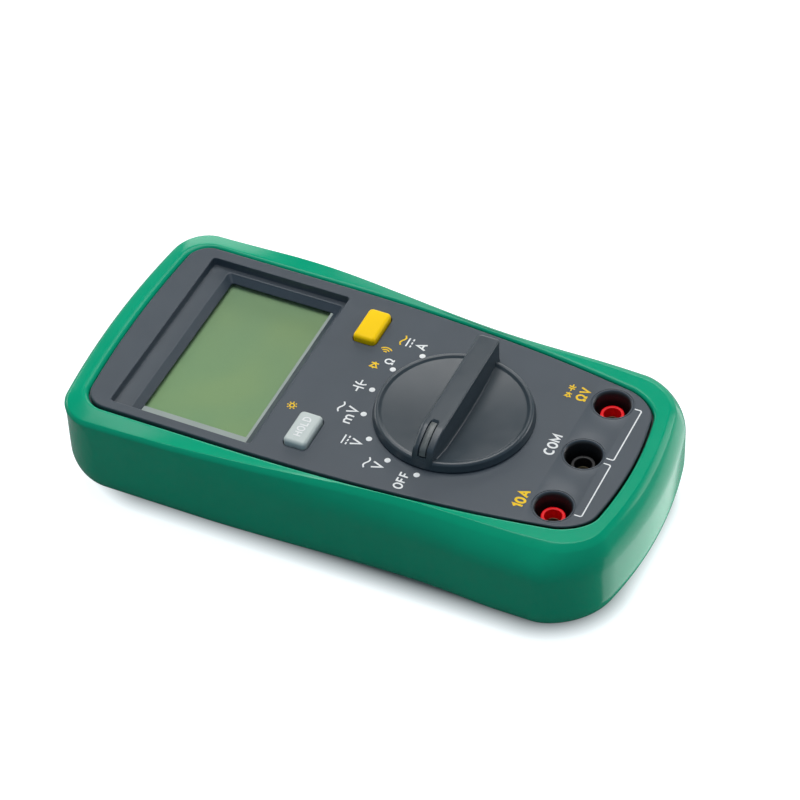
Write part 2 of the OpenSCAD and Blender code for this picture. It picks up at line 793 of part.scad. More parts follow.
// Finger bar from its sloping nose to its tail, with its whole surface sunk by s
module finger_bar(s) {
    x0 = -knob_d / 2 + bar_in + s;
    x1 = knob_d / 2 + bar_tail - s;
    tall = bar_h - knob_lift;
    nose = [[0, 0.96], [0.06, 0.7], [0.15, 0.42], [0.21, 0.34]];
    slope = [for (t = [0:0.25:1]) [mix(0.25, 1, t), nose_drop / tall * pow(1 - t, 1.5)]];
    tail = [[-0.9, 0, 0], [-0.5, 0.1, 0.1], [-0.15, 0.35, 0.3], [0, 0.8, 0.6]];
    loft(concat([for (p = concat(nose, slope)) bar_section(x0 + nose_l * p[0], s + tall * p[1],
            s + 0.3 * (1 - p[0]))],
        [for (x = [-8:4:16]) bar_section(x * knob_d / 40.8, s, s)],
        [for (p = tail) bar_section(x1 + p[0], s + p[1], s + p[2])]));
}

// Band over the nose of the bar and down its end, grown by g
module pointer_band(g) {
    x_end = -knob_d / 2 - over;
    reach = -knob_d / 2 + pointer_l;
    hw = pointer_w / 2 + g;
    low = panel_z + knob_rim + pointer_foot - g;
    block(x_end, reach, -hw, hw, low, panel_z + bar_h + over);
    post(reach, 0, hw, low, panel_z + bar_h + over);
}

module selector_knob() {
    r = knob_d / 2;
    z0 = panel_z + knob_lift;
    rim = panel_z + knob_rim;
    draft = 0.4;
    edge = 0.5;
    lip = 0.85;
    lip_step = 0.6;
    dip = 1.2;
    top_r = r - draft;
    dish_r = top_r - lip - lip_step;
    dish_n = 10;
    dish = [for (i = [0:dish_n]) let (t = 1 - i / dish_n) [dish_r * t, rim - lip_step - dip * (1 - t * t)]];
    color("dimgray") translate([0, knob_y, 0]) difference() {
        union() {
            rotate_extrude() polygon(concat([[0, z0], [r, z0], [top_r, rim - edge]],
                arc([top_r - edge, rim - edge], edge, 15, 90, 5), [[top_r - lip, rim]], dish));
            post(0, 0, hub_r, rotor_top, z0 + eps);
            finger_bar(0);
        }
        difference() {
            pointer_band(pointer_gap);
            finger_bar(pointer_d);
        }
        post(0, 0, screw_r, 0, rotor_top + rotor_screw_in + over);
    }
}

module pointer_inlay() {
    color("gainsboro") translate([0, knob_y, 0]) difference() {
        intersection() {
            pointer_band(0);
            finger_bar(slip_gap);
        }
        finger_bar(pointer_d - slip_gap);
    }
}

// Disc with raised ribs, a counterbore for its screw and two radial bores for the detents
module contact_rotor() {
    rib_hw = 0.6;
    rib_h = 1.2;
    rib_in = 0.5;
    color("whitesmoke") translate([0, knob_y, 0]) difference() {
        union() {
            post(0, 0, rotor_r, rotor_z, rotor_top);
            for (a = [30:60:330]) rotate(a) block(collar_r + rib_in, rotor_r - rib_in, -rib_hw, rib_hw,
                rotor_top - eps, rotor_top + rib_h);
        }
        post(0, 0, screw_r + slip_gap, 0, rotor_top + over);
        post(0, 0, head_bore_r, 0, rotor_z + head_h - head_proud);
        for (side = [90, 270]) rotate(side) translate([detent_in, 0, rotor_z + rotor_t / 2])
            rotate([0, 90, 0]) cylinder(r = ball_r + slip_gap, h = rotor_r);
    }
}

module rotor_screw() {
    color("silver") translate([0, knob_y, 0]) difference() {
        union() {
            post(0, 0, head_r, rotor_z - head_proud, rotor_z + head_h - head_proud);
            post(0, 0, screw_r - slip_gap, rotor_z + slot_d, rotor_top + rotor_screw_in);
        }
        cross_slot(0, 0, rotor_z - head_proud, screw_r);
    }
}

// Springy leaves that bridge the tracks
module wiper_contacts() {
    leaf = 0.25;
    arch = 0.8;
    low = board_top + track_t + touch_gap;
    toe = [for (i = [1:3]) track_in + i * track_pitch + track_w / 2];
    run = [[track_in - leaf, rotor_z - leaf], [toe[0] - arch, low], [toe[0] + arch, low],
        [toe[1], low + arch], [toe[2] - arch, low], [toe[2] + arch / 2, low],
        [toe[2] + arch, low + arch / 2]];
    back = [for (i = [len(run) - 1:-1:0]) run[i] + [0, leaf]];
    color("gold") translate([0, knob_y, 0]) for (a = [45:90:315]) rotate(a) rotate([90, 0, 0])
        translate([0, 0, -track_w / 2]) linear_extrude(track_w) polygon(concat(run, back));
}

module detent_balls() {
    color("lightgray") for (side = [90, 270]) translate([0, knob_y, rotor_z + rotor_t / 2])
        rotate(side) translate([ball_at, 0, 0]) sphere(r = ball_r);
}

module detent_springs() {
    color("silver") for (side = [90, 270]) translate([0, knob_y, rotor_z + rotor_t / 2])
        rotate(side) translate([detent_in + slip_gap, 0, 0]) rotate([0, 90, 0])
            coil(ball_r - 0.4, ball_r - 0.4, ball_at - ball_r - detent_in - 2 * slip_gap, 6, 0.2);
}

// Keys

key_corner_r = 1.2;
key_round = 0.8;
function key_ring(g) = let (r = key_corner_r + g, hw = key_w / 2 + g, hl = key_l / 2 + g)
    [for (q = [0:3]) let (sx = q % 3 == 0 ? 1 : -1, sy = q < 2 ? 1 : -1)
        each arc([sx * (hw - r), sy * (hl - r)], r, 90 * q, 90 * q + 90, 4)];

// Cap with a rounded top edge, a flange behind the face and a stem down to its dome
module key_body(x) {
    top = panel_z + key_h;
    stem = [2, 0.7];
    flange_top = flange_z + flange_t;
    turn = [for (a = [0:18:90]) [key_round * (1 - cos(a)), key_round * (1 - sin(a))]];
    translate([x, key_y, 0]) union() {
        loft(concat([lifted(key_ring(flange_out), flange_z), lifted(key_ring(flange_out), flange_top)],
            [lifted(key_ring(0), flange_top)],
            [for (t = turn) lifted(key_ring(-t[0]), top - t[1])]));
        for (a = [0, 90]) rotate(a)
            block(-stem[0], stem[0], -stem[1], stem[1], key_floor, flange_z + slip_gap);
    }
}

module hold_key() {
    color("lightgray") key_body(-key_x);
}

module select_key() {
    color("gold") key_body(key_x);
}

// Rubber dome on the board under a key
module key_dome(x) {
    wall = 0.6;
    foot_r = 4;
    top_r = 2.2;
    translate([x, key_y, board_top]) rotate_extrude()
        polygon([[foot_r - 2.5 * wall, 0], [foot_r, 0], [foot_r, wall], [foot_r - wall, wall],
            [top_r, dome_h], [0, dome_h], [0, dome_h - wall], [top_r - wall, dome_h - wall]]);
}

module hold_dome() {
    color("white") key_dome(-key_x);
}

module select_dome() {
    color("white") key_dome(key_x);
}

// Jacks

module jack_sleeve(i) {
    translate([i * jack_pitch, jack_y, 0]) rotate_extrude()
        polygon([[sleeve_in, sleeve_foot], [flange_r, sleeve_foot],
            [flange_r, sleeve_foot + sleeve_flange_t], [sleeve_r, sleeve_foot + sleeve_flange_t],
            [sleeve_r, sleeve_top - sleeve_edge], [sleeve_r - sleeve_edge, sleeve_top],
            [plug_r + sleeve_gap + sleeve_edge, sleeve_top],
            [plug_r + sleeve_gap, sleeve_top - sleeve_edge],
            [plug_r + sleeve_gap, barrel_top], [sleeve_in, barrel_top]]);
}

module jack_sleeve_amps() {
    color("crimson") jack_sleeve(-1);
}

module jack_sleeve_common() {
    color("black") jack_sleeve(0);
}

module jack_sleeve_volts() {
    color("crimson") jack_sleeve(1);
}

// Blind metal barrel through the board, with a flange that is soldered to it
module jack_barrel(i) {
    translate([i * jack_pitch, jack_y, 0]) rotate_extrude()
        polygon([[0, barrel_z], [barrel_r, barrel_z], [barrel_r, board_top], [flange_r, board_top],
            [flange_r, sleeve_foot], [barrel_r, sleeve_foot], [barrel_r, barrel_top],
            [plug_r, barrel_top], [plug_r, barrel_z + barrel_end_t], [0, barrel_z + barrel_end_t]]);
}

module jack_barrel_amps() {
    color("goldenrod") jack_barrel(-1);
}

module jack_barrel_common() {
    color("goldenrod") jack_barrel(0);
}

module jack_barrel_volts() {
    color("goldenrod") jack_barrel(1);
}

// Pieces on the back of the board

// Thick resistance wire between the amps and common jacks, bent like a staple
module current_shunt() {
    wire_r = 0.8;
    drop = 3.5;
    y = jack_y - 7;
    foot_in = 3;
    span = [foot_in - jack_pitch, -foot_in];
    color("peru") union() {
        for (x = span) post(x, y, wire_r, board_z - drop, board_z);
        for (x = span) translate([x, y, board_z - drop]) sphere(r = wire_r);
        translate([span[0], y, board_z - drop]) rotate([0, 90, 0])
            cylinder(r = wire_r, h = span[1] - span[0]);
    }
}

fuse_from_jacks = 10.5;
fuse_y = jack_y + fuse_from_jacks;
fuse_r = 2.6;
fuse_l = 20;
fuse_cap_l = 5;
fuse_cap_t = 0.2;
clip_t = 0.5;
clip_l = 3.4;
fuse_z = board_z - fuse_r - clip_t - touch_gap;

module input_fuse() {
    color("ivory") union() {
        translate([-fuse_l / 2 + fuse_cap_l, fuse_y, fuse_z]) rotate([0, 90, 0])
            cylinder(r = fuse_r - fuse_cap_t, h = fuse_l - 2 * fuse_cap_l);
        both_sides() translate([fuse_l / 2 - fuse_cap_l, fuse_y, fuse_z]) rotate([0, 90, 0])
            cylinder(r = fuse_r, h = fuse_cap_l);
    }
}

// Two spring clips that grip the fuse caps
module fuse_clips() {
    grip = fuse_r + slip_gap;
    mouth_hw = 1.6;
    color("silver") both_sides() translate([(fuse_l - fuse_cap_l - clip_l) / 2, fuse_y, fuse_z])
        difference() {
            union() {
                rotate([0, 90, 0]) cylinder(r = grip + clip_t, h = clip_l);
                block(0, clip_l, -mouth_hw, mouth_hw, 0, board_z - fuse_z);
            }
            translate([-over, 0, 0]) rotate([0, 90, 0]) cylinder(r = grip, h = clip_l + 2 * over);
            block(-over, clip_l + over, -mouth_hw, mouth_hw, -2 * grip, 0);
        }
}

module thermistor() {
    bead_r = 3.4;
    bead_t = 2.8;
    lead_x = 1.6;
    lead_r = 0.35;
    lift = 0.8;
    color("saddlebrown") translate([jack_pitch / 2, fuse_y, board_top]) union() {
        translate([0, bead_t / 2, lift + bead_r]) rotate([90, 0, 0]) cylinder(r = bead_r, h = bead_t);
        for (x = [-lead_x, lead_x]) post(x, 0, lead_r, 0, lift + bead_r);
    }
}

// Chip, crystal and buzzer stand in one row between the selector and the battery box
chip_y = knob_y + 9;

module measuring_chip() {
    side = 12;
    height = 2;
    lift = 0.2;
    pins = 8;
    pin_pitch = 1.3;
    pin_hw = 0.25;
    pin_out = 1.2;
    color("darkslategray") translate([0, chip_y, board_z]) union() {
        block(-side / 2, side / 2, -side / 2, side / 2, -height, -lift);
        for (q = [0:3], i = [0:pins - 1]) rotate(90 * q)
            translate([side / 2, (i - (pins - 1) / 2) * pin_pitch, 0])
                block(-eps, pin_out, -pin_hw, pin_hw, -height / 2, 0);
    }
}

module crystal() {
    r = 2.2;
    reach = 3.3;
    height = 3.4;
    x = 13;
    color("silver") translate([x, chip_y, board_z - height]) union() {
        for (y = [-reach, reach]) post(0, y, r, 0, height);
        block(-r, r, -reach, reach, 0, height);
    }
}

module buzzer() {
    r = 5.5;
    height = 5;
    vent_r = 1;
    x = -14.5;
    color("black") translate([x, chip_y, board_z - height]) difference() {
        post(0, 0, r, 0, height);
        post(0, 0, vent_r, -over, height / 3);
    }
}

module film_capacitors() {
    pitch = 8;
    size = [5.2, 3, 6];
    y = knob_y - 9;
    color("firebrick") for (i = [-1:1])
        translate([i * pitch - size[0] / 2, y, board_z - size[2]]) cube(size);
}

// Battery

// One cell lies each way round: way is 1 where its positive end points to the display end
module cell(x, way) {
    y0 = way > 0 ? box_lo + spring_l : box_hi - spring_l;
    button_r = 1.9;
    button_h = 1;
    translate([x, y0, cell_z]) rotate([-90 * way, 0, 0]) union() {
        cylinder(r = cell_d / 2, h = cell_l - button_h);
        cylinder(r = button_r, h = cell_l);
    }
}

module battery_left() {
    color("steelblue") cell(-cell_pitch / 2, 1);
}

module battery_right() {
    color("steelblue") cell(cell_pitch / 2, -1);
}

module battery_springs() {
    radii = [cell_d / 2 - 1.65, 2.2];
    turns = 3;
    wire_r = 0.3;
    color("silver") for (way = [-1, 1])
        translate([-way * cell_pitch / 2, way > 0 ? box_lo + slip_gap : box_hi - slip_gap, cell_z])
            rotate([-90 * way, 0, 0]) coil(radii[0], radii[1], spring_l - 2 * slip_gap, turns, wire_r);
}

module battery_plates() {
    half = cell_d / 2 - 1.75;
    color("silver") {
        block(cell_pitch / 2 - half, cell_pitch / 2 + half, box_lo, box_lo + plate_t,
            cell_z - half, cell_z + half);
        block(-cell_pitch / 2 - half, -cell_pitch / 2 + half, box_hi - plate_t, box_hi,
            cell_z - half, cell_z + half);
    }
}

protective_boot();
front_case();
rear_case();
battery_door();
battery_door_screw();
case_screws();
tilt_stand();
display_window();
display_glass();
display_holder();
backlight_panel();
connector_strip();
main_board();
switch_tracks();
selector_knob();
pointer_inlay();
contact_rotor();
rotor_screw();
wiper_contacts();
detent_balls();
detent_springs();
hold_key();
select_key();
hold_dome();
select_dome();
jack_sleeve_amps();
jack_sleeve_common();
jack_sleeve_volts();
jack_barrel_amps();
jack_barrel_common();
jack_barrel_volts();
current_shunt();
input_fuse();
fuse_clips();
thermistor();
measuring_chip();
crystal();
buzzer();
film_capacitors();
battery_left();
battery_right();
battery_springs();
battery_plates();
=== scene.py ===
import json
import math
import bmesh
import bpy
import numpy as np
from mathutils import Matrix, Vector
from mathutils.geometry import tessellate_polygon


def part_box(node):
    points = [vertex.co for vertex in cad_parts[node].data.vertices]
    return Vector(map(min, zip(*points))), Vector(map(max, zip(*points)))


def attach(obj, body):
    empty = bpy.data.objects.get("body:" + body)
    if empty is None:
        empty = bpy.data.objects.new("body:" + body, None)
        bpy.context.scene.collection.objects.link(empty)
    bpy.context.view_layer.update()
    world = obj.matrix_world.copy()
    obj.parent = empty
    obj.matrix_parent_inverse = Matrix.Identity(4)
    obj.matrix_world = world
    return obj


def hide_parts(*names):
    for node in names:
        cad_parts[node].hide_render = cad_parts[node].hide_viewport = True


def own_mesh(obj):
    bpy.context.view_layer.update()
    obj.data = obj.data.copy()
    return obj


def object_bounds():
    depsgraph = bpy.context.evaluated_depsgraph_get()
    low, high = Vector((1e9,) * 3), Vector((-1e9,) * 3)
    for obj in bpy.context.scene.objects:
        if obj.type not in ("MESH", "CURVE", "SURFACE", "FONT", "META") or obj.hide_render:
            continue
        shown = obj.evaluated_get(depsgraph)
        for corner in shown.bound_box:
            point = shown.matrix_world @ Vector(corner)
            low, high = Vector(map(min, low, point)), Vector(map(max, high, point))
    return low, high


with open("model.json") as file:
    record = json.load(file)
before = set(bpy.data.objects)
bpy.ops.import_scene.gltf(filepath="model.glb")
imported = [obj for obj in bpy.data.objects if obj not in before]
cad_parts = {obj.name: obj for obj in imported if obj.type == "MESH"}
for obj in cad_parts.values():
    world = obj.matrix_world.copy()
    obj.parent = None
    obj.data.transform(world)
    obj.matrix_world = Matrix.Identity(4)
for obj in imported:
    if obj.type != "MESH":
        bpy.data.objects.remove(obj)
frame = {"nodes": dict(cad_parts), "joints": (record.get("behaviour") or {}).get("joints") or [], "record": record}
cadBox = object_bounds()
nodes = frame["nodes"]

mm = 0.001    # every shape below is worked out in millimetres


def boxOf(node):
    low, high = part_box(node)
    return np.array(low) / mm, np.array(high) / mm


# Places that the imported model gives
mountAt = {m["name"]: np.array(m["pos_m"]) / mm for m in frame["record"]["mounts"]}
jointAt = {j["name"]: np.array(j.get("pos_m", (0, 0, 0))) / mm for j in frame["joints"]}
caseLow, caseHigh = boxOf("front_case")
lensLow, lensHigh = boxOf("display_window")
panelZ = caseHigh[2]
knobX, knobY = jointAt["selector_turn"][:2]


# Curves

def mix(a, b, t):
    return a + (b - a) * t


def ease(t):    # smooth step from 0 to 1
    c = np.clip(t, 0, 1)
    return c * c * (3 - 2 * c)


def arcPath(centre, radii, start, end, count):    # points along an elliptic arc, angles in degrees
    a = np.radians(np.linspace(start, end, count))
    return np.column_stack([centre[0] + radii[0] * np.cos(a), centre[1] + radii[1] * np.sin(a)])


def lifted(loop, z):    # a flat loop at one height, or at a height for each point
    return np.column_stack([loop, np.broadcast_to(z, len(loop))])


def cornersCut(rows, rounds, closed=True):
    # Each round puts two rows for one, a quarter of the way to its neighbours, which rounds every edge
    for _ in range(rounds):
        after = np.roll(rows, -1, axis=0) if closed else rows[1:]
        here = rows if closed else rows[:-1]
        cut = np.stack([0.75 * here + 0.25 * after, 0.25 * here + 0.75 * after], axis=1)
        cut = cut.reshape(-1, *rows.shape[1:])
        rows = cut if closed else np.concatenate([rows[:1], cut, rows[-1:]])
    return rows


def rectLoop(x0, x1, y0, y1, r, count=16):
    # Rounded rectangle as four corner arcs, anticlockwise from its right side
    centres = ((x1 - r, y1 - r), (x0 + r, y1 - r), (x0 + r, y0 + r), (x1 - r, y0 + r))
    return np.concatenate([arcPath(c, (r, r), 90 * q, 90 * q + 90, count) for q, c in enumerate(centres)])


def circleLoop(centre, r, count):    # evenly spaced points, the first one not repeated
    return arcPath(centre, (r, r), 0, 360, count + 1)[:-1]


def quarterRound(r, start, end, count=5):    # steps out and up along a round of radius r
    a = np.radians(np.linspace(start, end, count))
    return r * np.cos(a), r * np.sin(a)


# Meshes

def gridPart(grid, closeRows=False, closeCols=True):
    # Quads of a grid, facing out where columns run anticlockwise and rows run up
    rows, cols = grid.shape[:2]
    r = np.arange(rows if closeRows else rows - 1)
    c = np.arange(cols if closeCols else cols - 1)
    r, c = np.meshgrid(r, c, indexing="ij")
    nextR, nextC = (r + 1) % rows, (c + 1) % cols
    quads = [r * cols + c, r * cols + nextC, nextR * cols + nextC, nextR * cols + c]
    return grid.reshape(-1, 3), np.stack(quads, axis=-1).reshape(-1, 4)


def capPart(ring, up):    # fan from the middle of a closed ring
    n = len(ring)
    around = np.arange(n)
    fan = np.column_stack([around, (around + 1) % n, np.full(n, n)])
    return np.vstack([ring, ring.mean(0)]), fan if up else fan[:, ::-1]


def tubeParts(grid):    # grid of closed rings with a cap at each end
    return [gridPart(grid), capPart(grid[0], False), capPart(grid[-1], True)]


def flipped(parts):
    return [(points, faces[:, ::-1]) for points, faces in parts]


def holedPart(loops, z, up):
    # Flat face inside the first loop and outside the others
    flat = np.concatenate(loops)
    fill = np.array(tessellate_polygon([[Vector((x, y, 0)) for x, y in loop] for loop in loops]))
    a, b, c = (flat[fill[:, i]] for i in range(3))
    turn = (b - a)[:, 0] * (c - a)[:, 1] - (b - a)[:, 1] * (c - a)[:, 0]
    fill = np.where(((turn > 0) == up)[:, None], fill, fill[:, ::-1])
    return np.column_stack([flat, np.full(len(flat), z)]), fill


def ringRows(loopAt, path):    # a loop that grows and climbs along a path of (growth, height)
    return np.stack([lifted(loopAt(g), z) for g, z in path])


def turned(profile, centre, count=96):
    # Profile of radius and height carried round an upright axis
    a = np.linspace(0, 2 * math.pi, count, endpoint=False)
    r, z = np.asarray(profile, float).T
    grid = np.empty((len(r), count, 3))
    grid[..., 0] = centre[0] + r[:, None] * np.cos(a)
    grid[..., 1] = centre[1] + r[:, None] * np.sin(a)
    grid[..., 2] = z[:, None]
    return grid


pad = {"land": 0.05, "bend": 0.3, "leastCorner": 0.05}
weld = {"doubles": 2e-7, "slivers": 1e-8}    # metres


def padParts(x0, x1, y0, y1, z0, z1, corner, edge):
    # Slab with rounded corners and broken edges, each edge in two flats
    inner, bend = -edge - pad["land"], pad["bend"] * edge
    path = [(inner, z0), (-edge, z0), (-bend, z0 + bend), (0, z0 + edge),
            (0, z1 - edge), (-bend, z1 - bend), (-edge, z1), (inner, z1)]

    def loopAt(g):
        return rectLoop(x0 - g, x1 + g, y0 - g, y1 + g, max(corner + g, pad["leastCorner"]))

    return tubeParts(ringRows(loopAt, path))


def makePiece(name, parts, material, body, replaced=(), sharpAngle=40):
    # Parts joined into one welded mesh, smooth up to an angle, on the body that carries it
    points, faces, start = [], [], 0
    for partPoints, partFaces in parts:
        points.append(partPoints)
        faces += (np.asarray(partFaces) + start).tolist()
        start += len(partPoints)
    mesh = bpy.data.meshes.new(name)
    mesh.from_pydata((np.concatenate(points) * mm).tolist(), [], faces)
    shell = bmesh.new()
    shell.from_mesh(mesh)
    bmesh.ops.remove_doubles(shell, verts=shell.verts, dist=weld["doubles"])
    bmesh.ops.dissolve_degenerate(shell, edges=shell.edges, dist=weld["slivers"])
    shell.to_mesh(mesh)
    shell.free()
    mesh.polygons.foreach_set("use_smooth", np.ones(len(mesh.polygons), bool))
    mesh.set_sharp_from_angle(angle=math.radians(sharpAngle))
    mesh.materials.append(material)
    piece = bpy.data.objects.new(name, mesh)
    bpy.context.scene.collection.objects.link(piece)
    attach(piece, body)
    if replaced:
        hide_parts(*replaced)
    return piece


# Materials

def newMaterial(name):
    material = bpy.data.materials.new(name)
    material.use_nodes = True
    return material, material.node_tree.nodes["Principled BSDF"]


def addNode(tree, kind, links=(), sockets=(), **settings):
    node = tree.nodes.new(kind)
    for key, value in settings.items():
        setattr(node, key, value)
    for socket, value in dict(sockets).items():
        node.inputs[socket].default_value = value
    for socket, source in dict(links).items():
        tree.links.new(source, node.inputs[socket])
    return node


def objectNoise(tree, scale, detail=3.0, stretch=(1, 1, 1)):
    # Noise on Object coordinates; scale counts features in a metre
    place = addNode(tree, "ShaderNodeTexCoord")
    turn = addNode(tree, "ShaderNodeMapping", {"Vector": place.outputs["Object"]}, {"Scale": stretch})
    noise = addNode(tree, "ShaderNodeTexNoise", {"Vector": turn.outputs["Vector"]},
                    {"Scale": scale, "Detail": detail})
    return noise.outputs["Fac"]


noiseSpan = 0.3, 0.7    # the useful middle of a noise


def spreadOf(tree, source, low, high, start=noiseSpan[0], end=noiseSpan[1]):    # maps a span to a range
    node = addNode(tree, "ShaderNodeMapRange", {"Value": source},
                   {"From Min": start, "From Max": end, "To Min": low, "To Max": high})
    return node.outputs["Result"]


def tinted(tree, source, dark, light):    # from one colour to another over the middle of a noise
    ramp = addNode(tree, "ShaderNodeValToRGB", {"Fac": source})
    for element, place, colour in zip(ramp.color_ramp.elements, noiseSpan, (dark, light)):
        element.position = place
        element.color = (*colour, 1)
    return ramp.outputs["Color"]


def blended(tree, share, first, second):
    # First colour where share is 0, second where it is 1; a Mix node has its colours in sockets 6 and 7
    node = addNode(tree, "ShaderNodeMix", data_type="RGBA")
    tree.links.new(share, node.inputs["Factor"])
    tree.links.new(first, node.inputs[6])
    tree.links.new(second, node.inputs[7])
    return node.outputs[2]


def axisShare(tree, axis, start, end):    # 0 to 1 along one Object axis, between two places in millimetres
    place = addNode(tree, "ShaderNodeTexCoord")
    axes = addNode(tree, "ShaderNodeSeparateXYZ", {"Vector": place.outputs["Object"]})
    return spreadOf(tree, axes.outputs[axis], 0, 1, start * mm, end * mm)


plastic = {
    "cloud": (90, 4), "polish": (260, 5), "polishSpread": (0.9, 1.12),    # noises are a scale and a detail
    "grainDetail": 2, "coatRoughness": 0.08,
}


def mouldedPlastic(name, colour, roughness, tint=0.05, grain=5000, grainDepth=0.004, gloss=0.5, coat=0.0):
    # Cloudy tint, patchy polish and a fine moulded grain; grainDepth is in millimetres
    p = plastic
    material, shader = newMaterial(name)
    tree = material.node_tree
    base = np.array(colour)
    cloud = tinted(tree, objectNoise(tree, *p["cloud"]), base * (1 - tint), base * (1 + tint))
    tree.links.new(cloud, shader.inputs["Base Color"])
    spread = (roughness * s for s in p["polishSpread"])
    tree.links.new(spreadOf(tree, objectNoise(tree, *p["polish"]), *spread), shader.inputs["Roughness"])
    bump = addNode(tree, "ShaderNodeBump", {"Height": objectNoise(tree, grain, p["grainDetail"])},
                   {"Strength": 1.0, "Distance": grainDepth * mm})
    tree.links.new(bump.outputs["Normal"], shader.inputs["Normal"])
    shader.inputs["Coat Weight"].default_value = coat
    shader.inputs["Coat Roughness"].default_value = p["coatRoughness"]
    shader.inputs["Specular IOR Level"].default_value = gloss
    return material


metal = {"detail": 4, "tint": (0.85, 1.08), "polishSpread": (0.8, 1.3)}


def wornMetal(name, colour, roughness, stretch=(1, 1, 1), scale=2500):
    # One noise changes the tint and the polish together
    material, shader = newMaterial(name)
    tree = material.node_tree
    marks = objectNoise(tree, scale, metal["detail"], stretch)
    shades = (np.array(colour) * t for t in metal["tint"])
    tree.links.new(tinted(tree, marks, *shades), shader.inputs["Base Color"])
    spread = (roughness * s for s in metal["polishSpread"])
    tree.links.new(spreadOf(tree, marks, *spread), shader.inputs["Roughness"])
    shader.inputs["Metallic"].default_value = 1.0
    return material


# the painted shade of the wells starts at the first of two places and is full at the second
wellShade = {
    "black": ((0.010, 0.010, 0.011), (0.014, 0.014, 0.015)), "cloud": 300,
    "fromKnob": (26, 27), "belowFace": (0.22, 0.34),
}


def caseGrey():
    # Grey face; below it the jack wells are darkened to near black, which is painted shade where little light
    # reaches
    w = wellShade
    material = mouldedPlastic("caseGrey", (0.036, 0.051, 0.067), 0.41, 0.05, 5200, 0.008, 0.45)
    tree = material.node_tree
    shader = tree.nodes["Principled BSDF"]
    grey = shader.inputs["Base Color"].links[0].from_socket
    black = tinted(tree, objectNoise(tree, w["cloud"]), *w["black"])
    jackSide = axisShare(tree, "Y", *(knobY - d for d in w["fromKnob"]))
    below = axisShare(tree, "Z", *(panelZ - d for d in w["belowFace"]))
    # painted shade: near black on the jack side, from about a third of a millimetre below the face downwards
    shadeInWell = addNode(tree, "ShaderNodeMath", {0: jackSide, 1: below}, operation="MULTIPLY")
    tree.links.new(blended(tree, shadeInWell.outputs[0], grey, black), shader.inputs["Base Color"])
    return material


displayFinish = {
    "patches": ((0.197, 0.315, 0.178), (0.244, 0.350, 0.165)),
    "pale": ((0.209, 0.361, 0.178), (0.252, 0.382, 0.171)),
    "cloud": (45, 1), "weave": (9000, 2), "weaveDark": 0.9, "roughness": 0.55, "gloss": 0.3,
}


def displayGreen():
    # Unlit display: two greens in soft patches with the weave of the rear polariser; the far side is darker,
    # painted shade from the far wall of the recess, and the green pales towards the near side
    d = displayFinish
    material, shader = newMaterial("displayGreen")
    tree = material.node_tree
    patches, pale = (tinted(tree, objectNoise(tree, *d["cloud"]), *d[k]) for k in ("patches", "pale"))
    # painted shade: the green darkens towards the far side of the pane
    along = axisShare(tree, "X", lensHigh[0], lensLow[0])
    weave = tinted(tree, objectNoise(tree, *d["weave"]), (d["weaveDark"],) * 3, (1, 1, 1))
    woven = addNode(tree, "ShaderNodeMix", data_type="RGBA", blend_type="MULTIPLY")
    woven.inputs["Factor"].default_value = 1.0
    tree.links.new(blended(tree, along, patches, pale), woven.inputs[6])
    tree.links.new(weave, woven.inputs[7])
    tree.links.new(woven.outputs[2], shader.inputs["Base Color"])
    shader.inputs["Roughness"].default_value = d["roughness"]
    shader.inputs["Specular IOR Level"].default_value = d["gloss"]
    return material


windowFinish = {"clear": (0.97, 0.985, 0.975, 1), "roughness": 0.05, "bending": 1.35}


def windowClear():
    # Clear pane that lets lamps through; its outer faces have a mirror share that grows at low angles
    w = windowFinish
    material, shader = newMaterial("windowClear")
    tree = material.node_tree
    tree.nodes.remove(shader)
    clear = addNode(tree, "ShaderNodeBsdfTransparent", (), {"Color": w["clear"]})
    shine = addNode(tree, "ShaderNodeBsdfGlossy", (), {"Roughness": w["roughness"]})
    angle = addNode(tree, "ShaderNodeFresnel", (), {"IOR": w["bending"]}).outputs["Fac"]
    inside = addNode(tree, "ShaderNodeNewGeometry").outputs["Backfacing"]
    outside = addNode(tree, "ShaderNodeMath", {1: inside}, {0: 1.0}, operation="SUBTRACT")
    share = addNode(tree, "ShaderNodeMath", {0: angle, 1: outside.outputs[0]}, operation="MULTIPLY")
    pane = addNode(tree, "ShaderNodeMixShader",
                   {0: share.outputs[0], 1: clear.outputs["BSDF"], 2: shine.outputs["BSDF"]})
    tree.links.new(pane.outputs["Shader"], tree.nodes["Material Output"].inputs["Surface"])
    return material


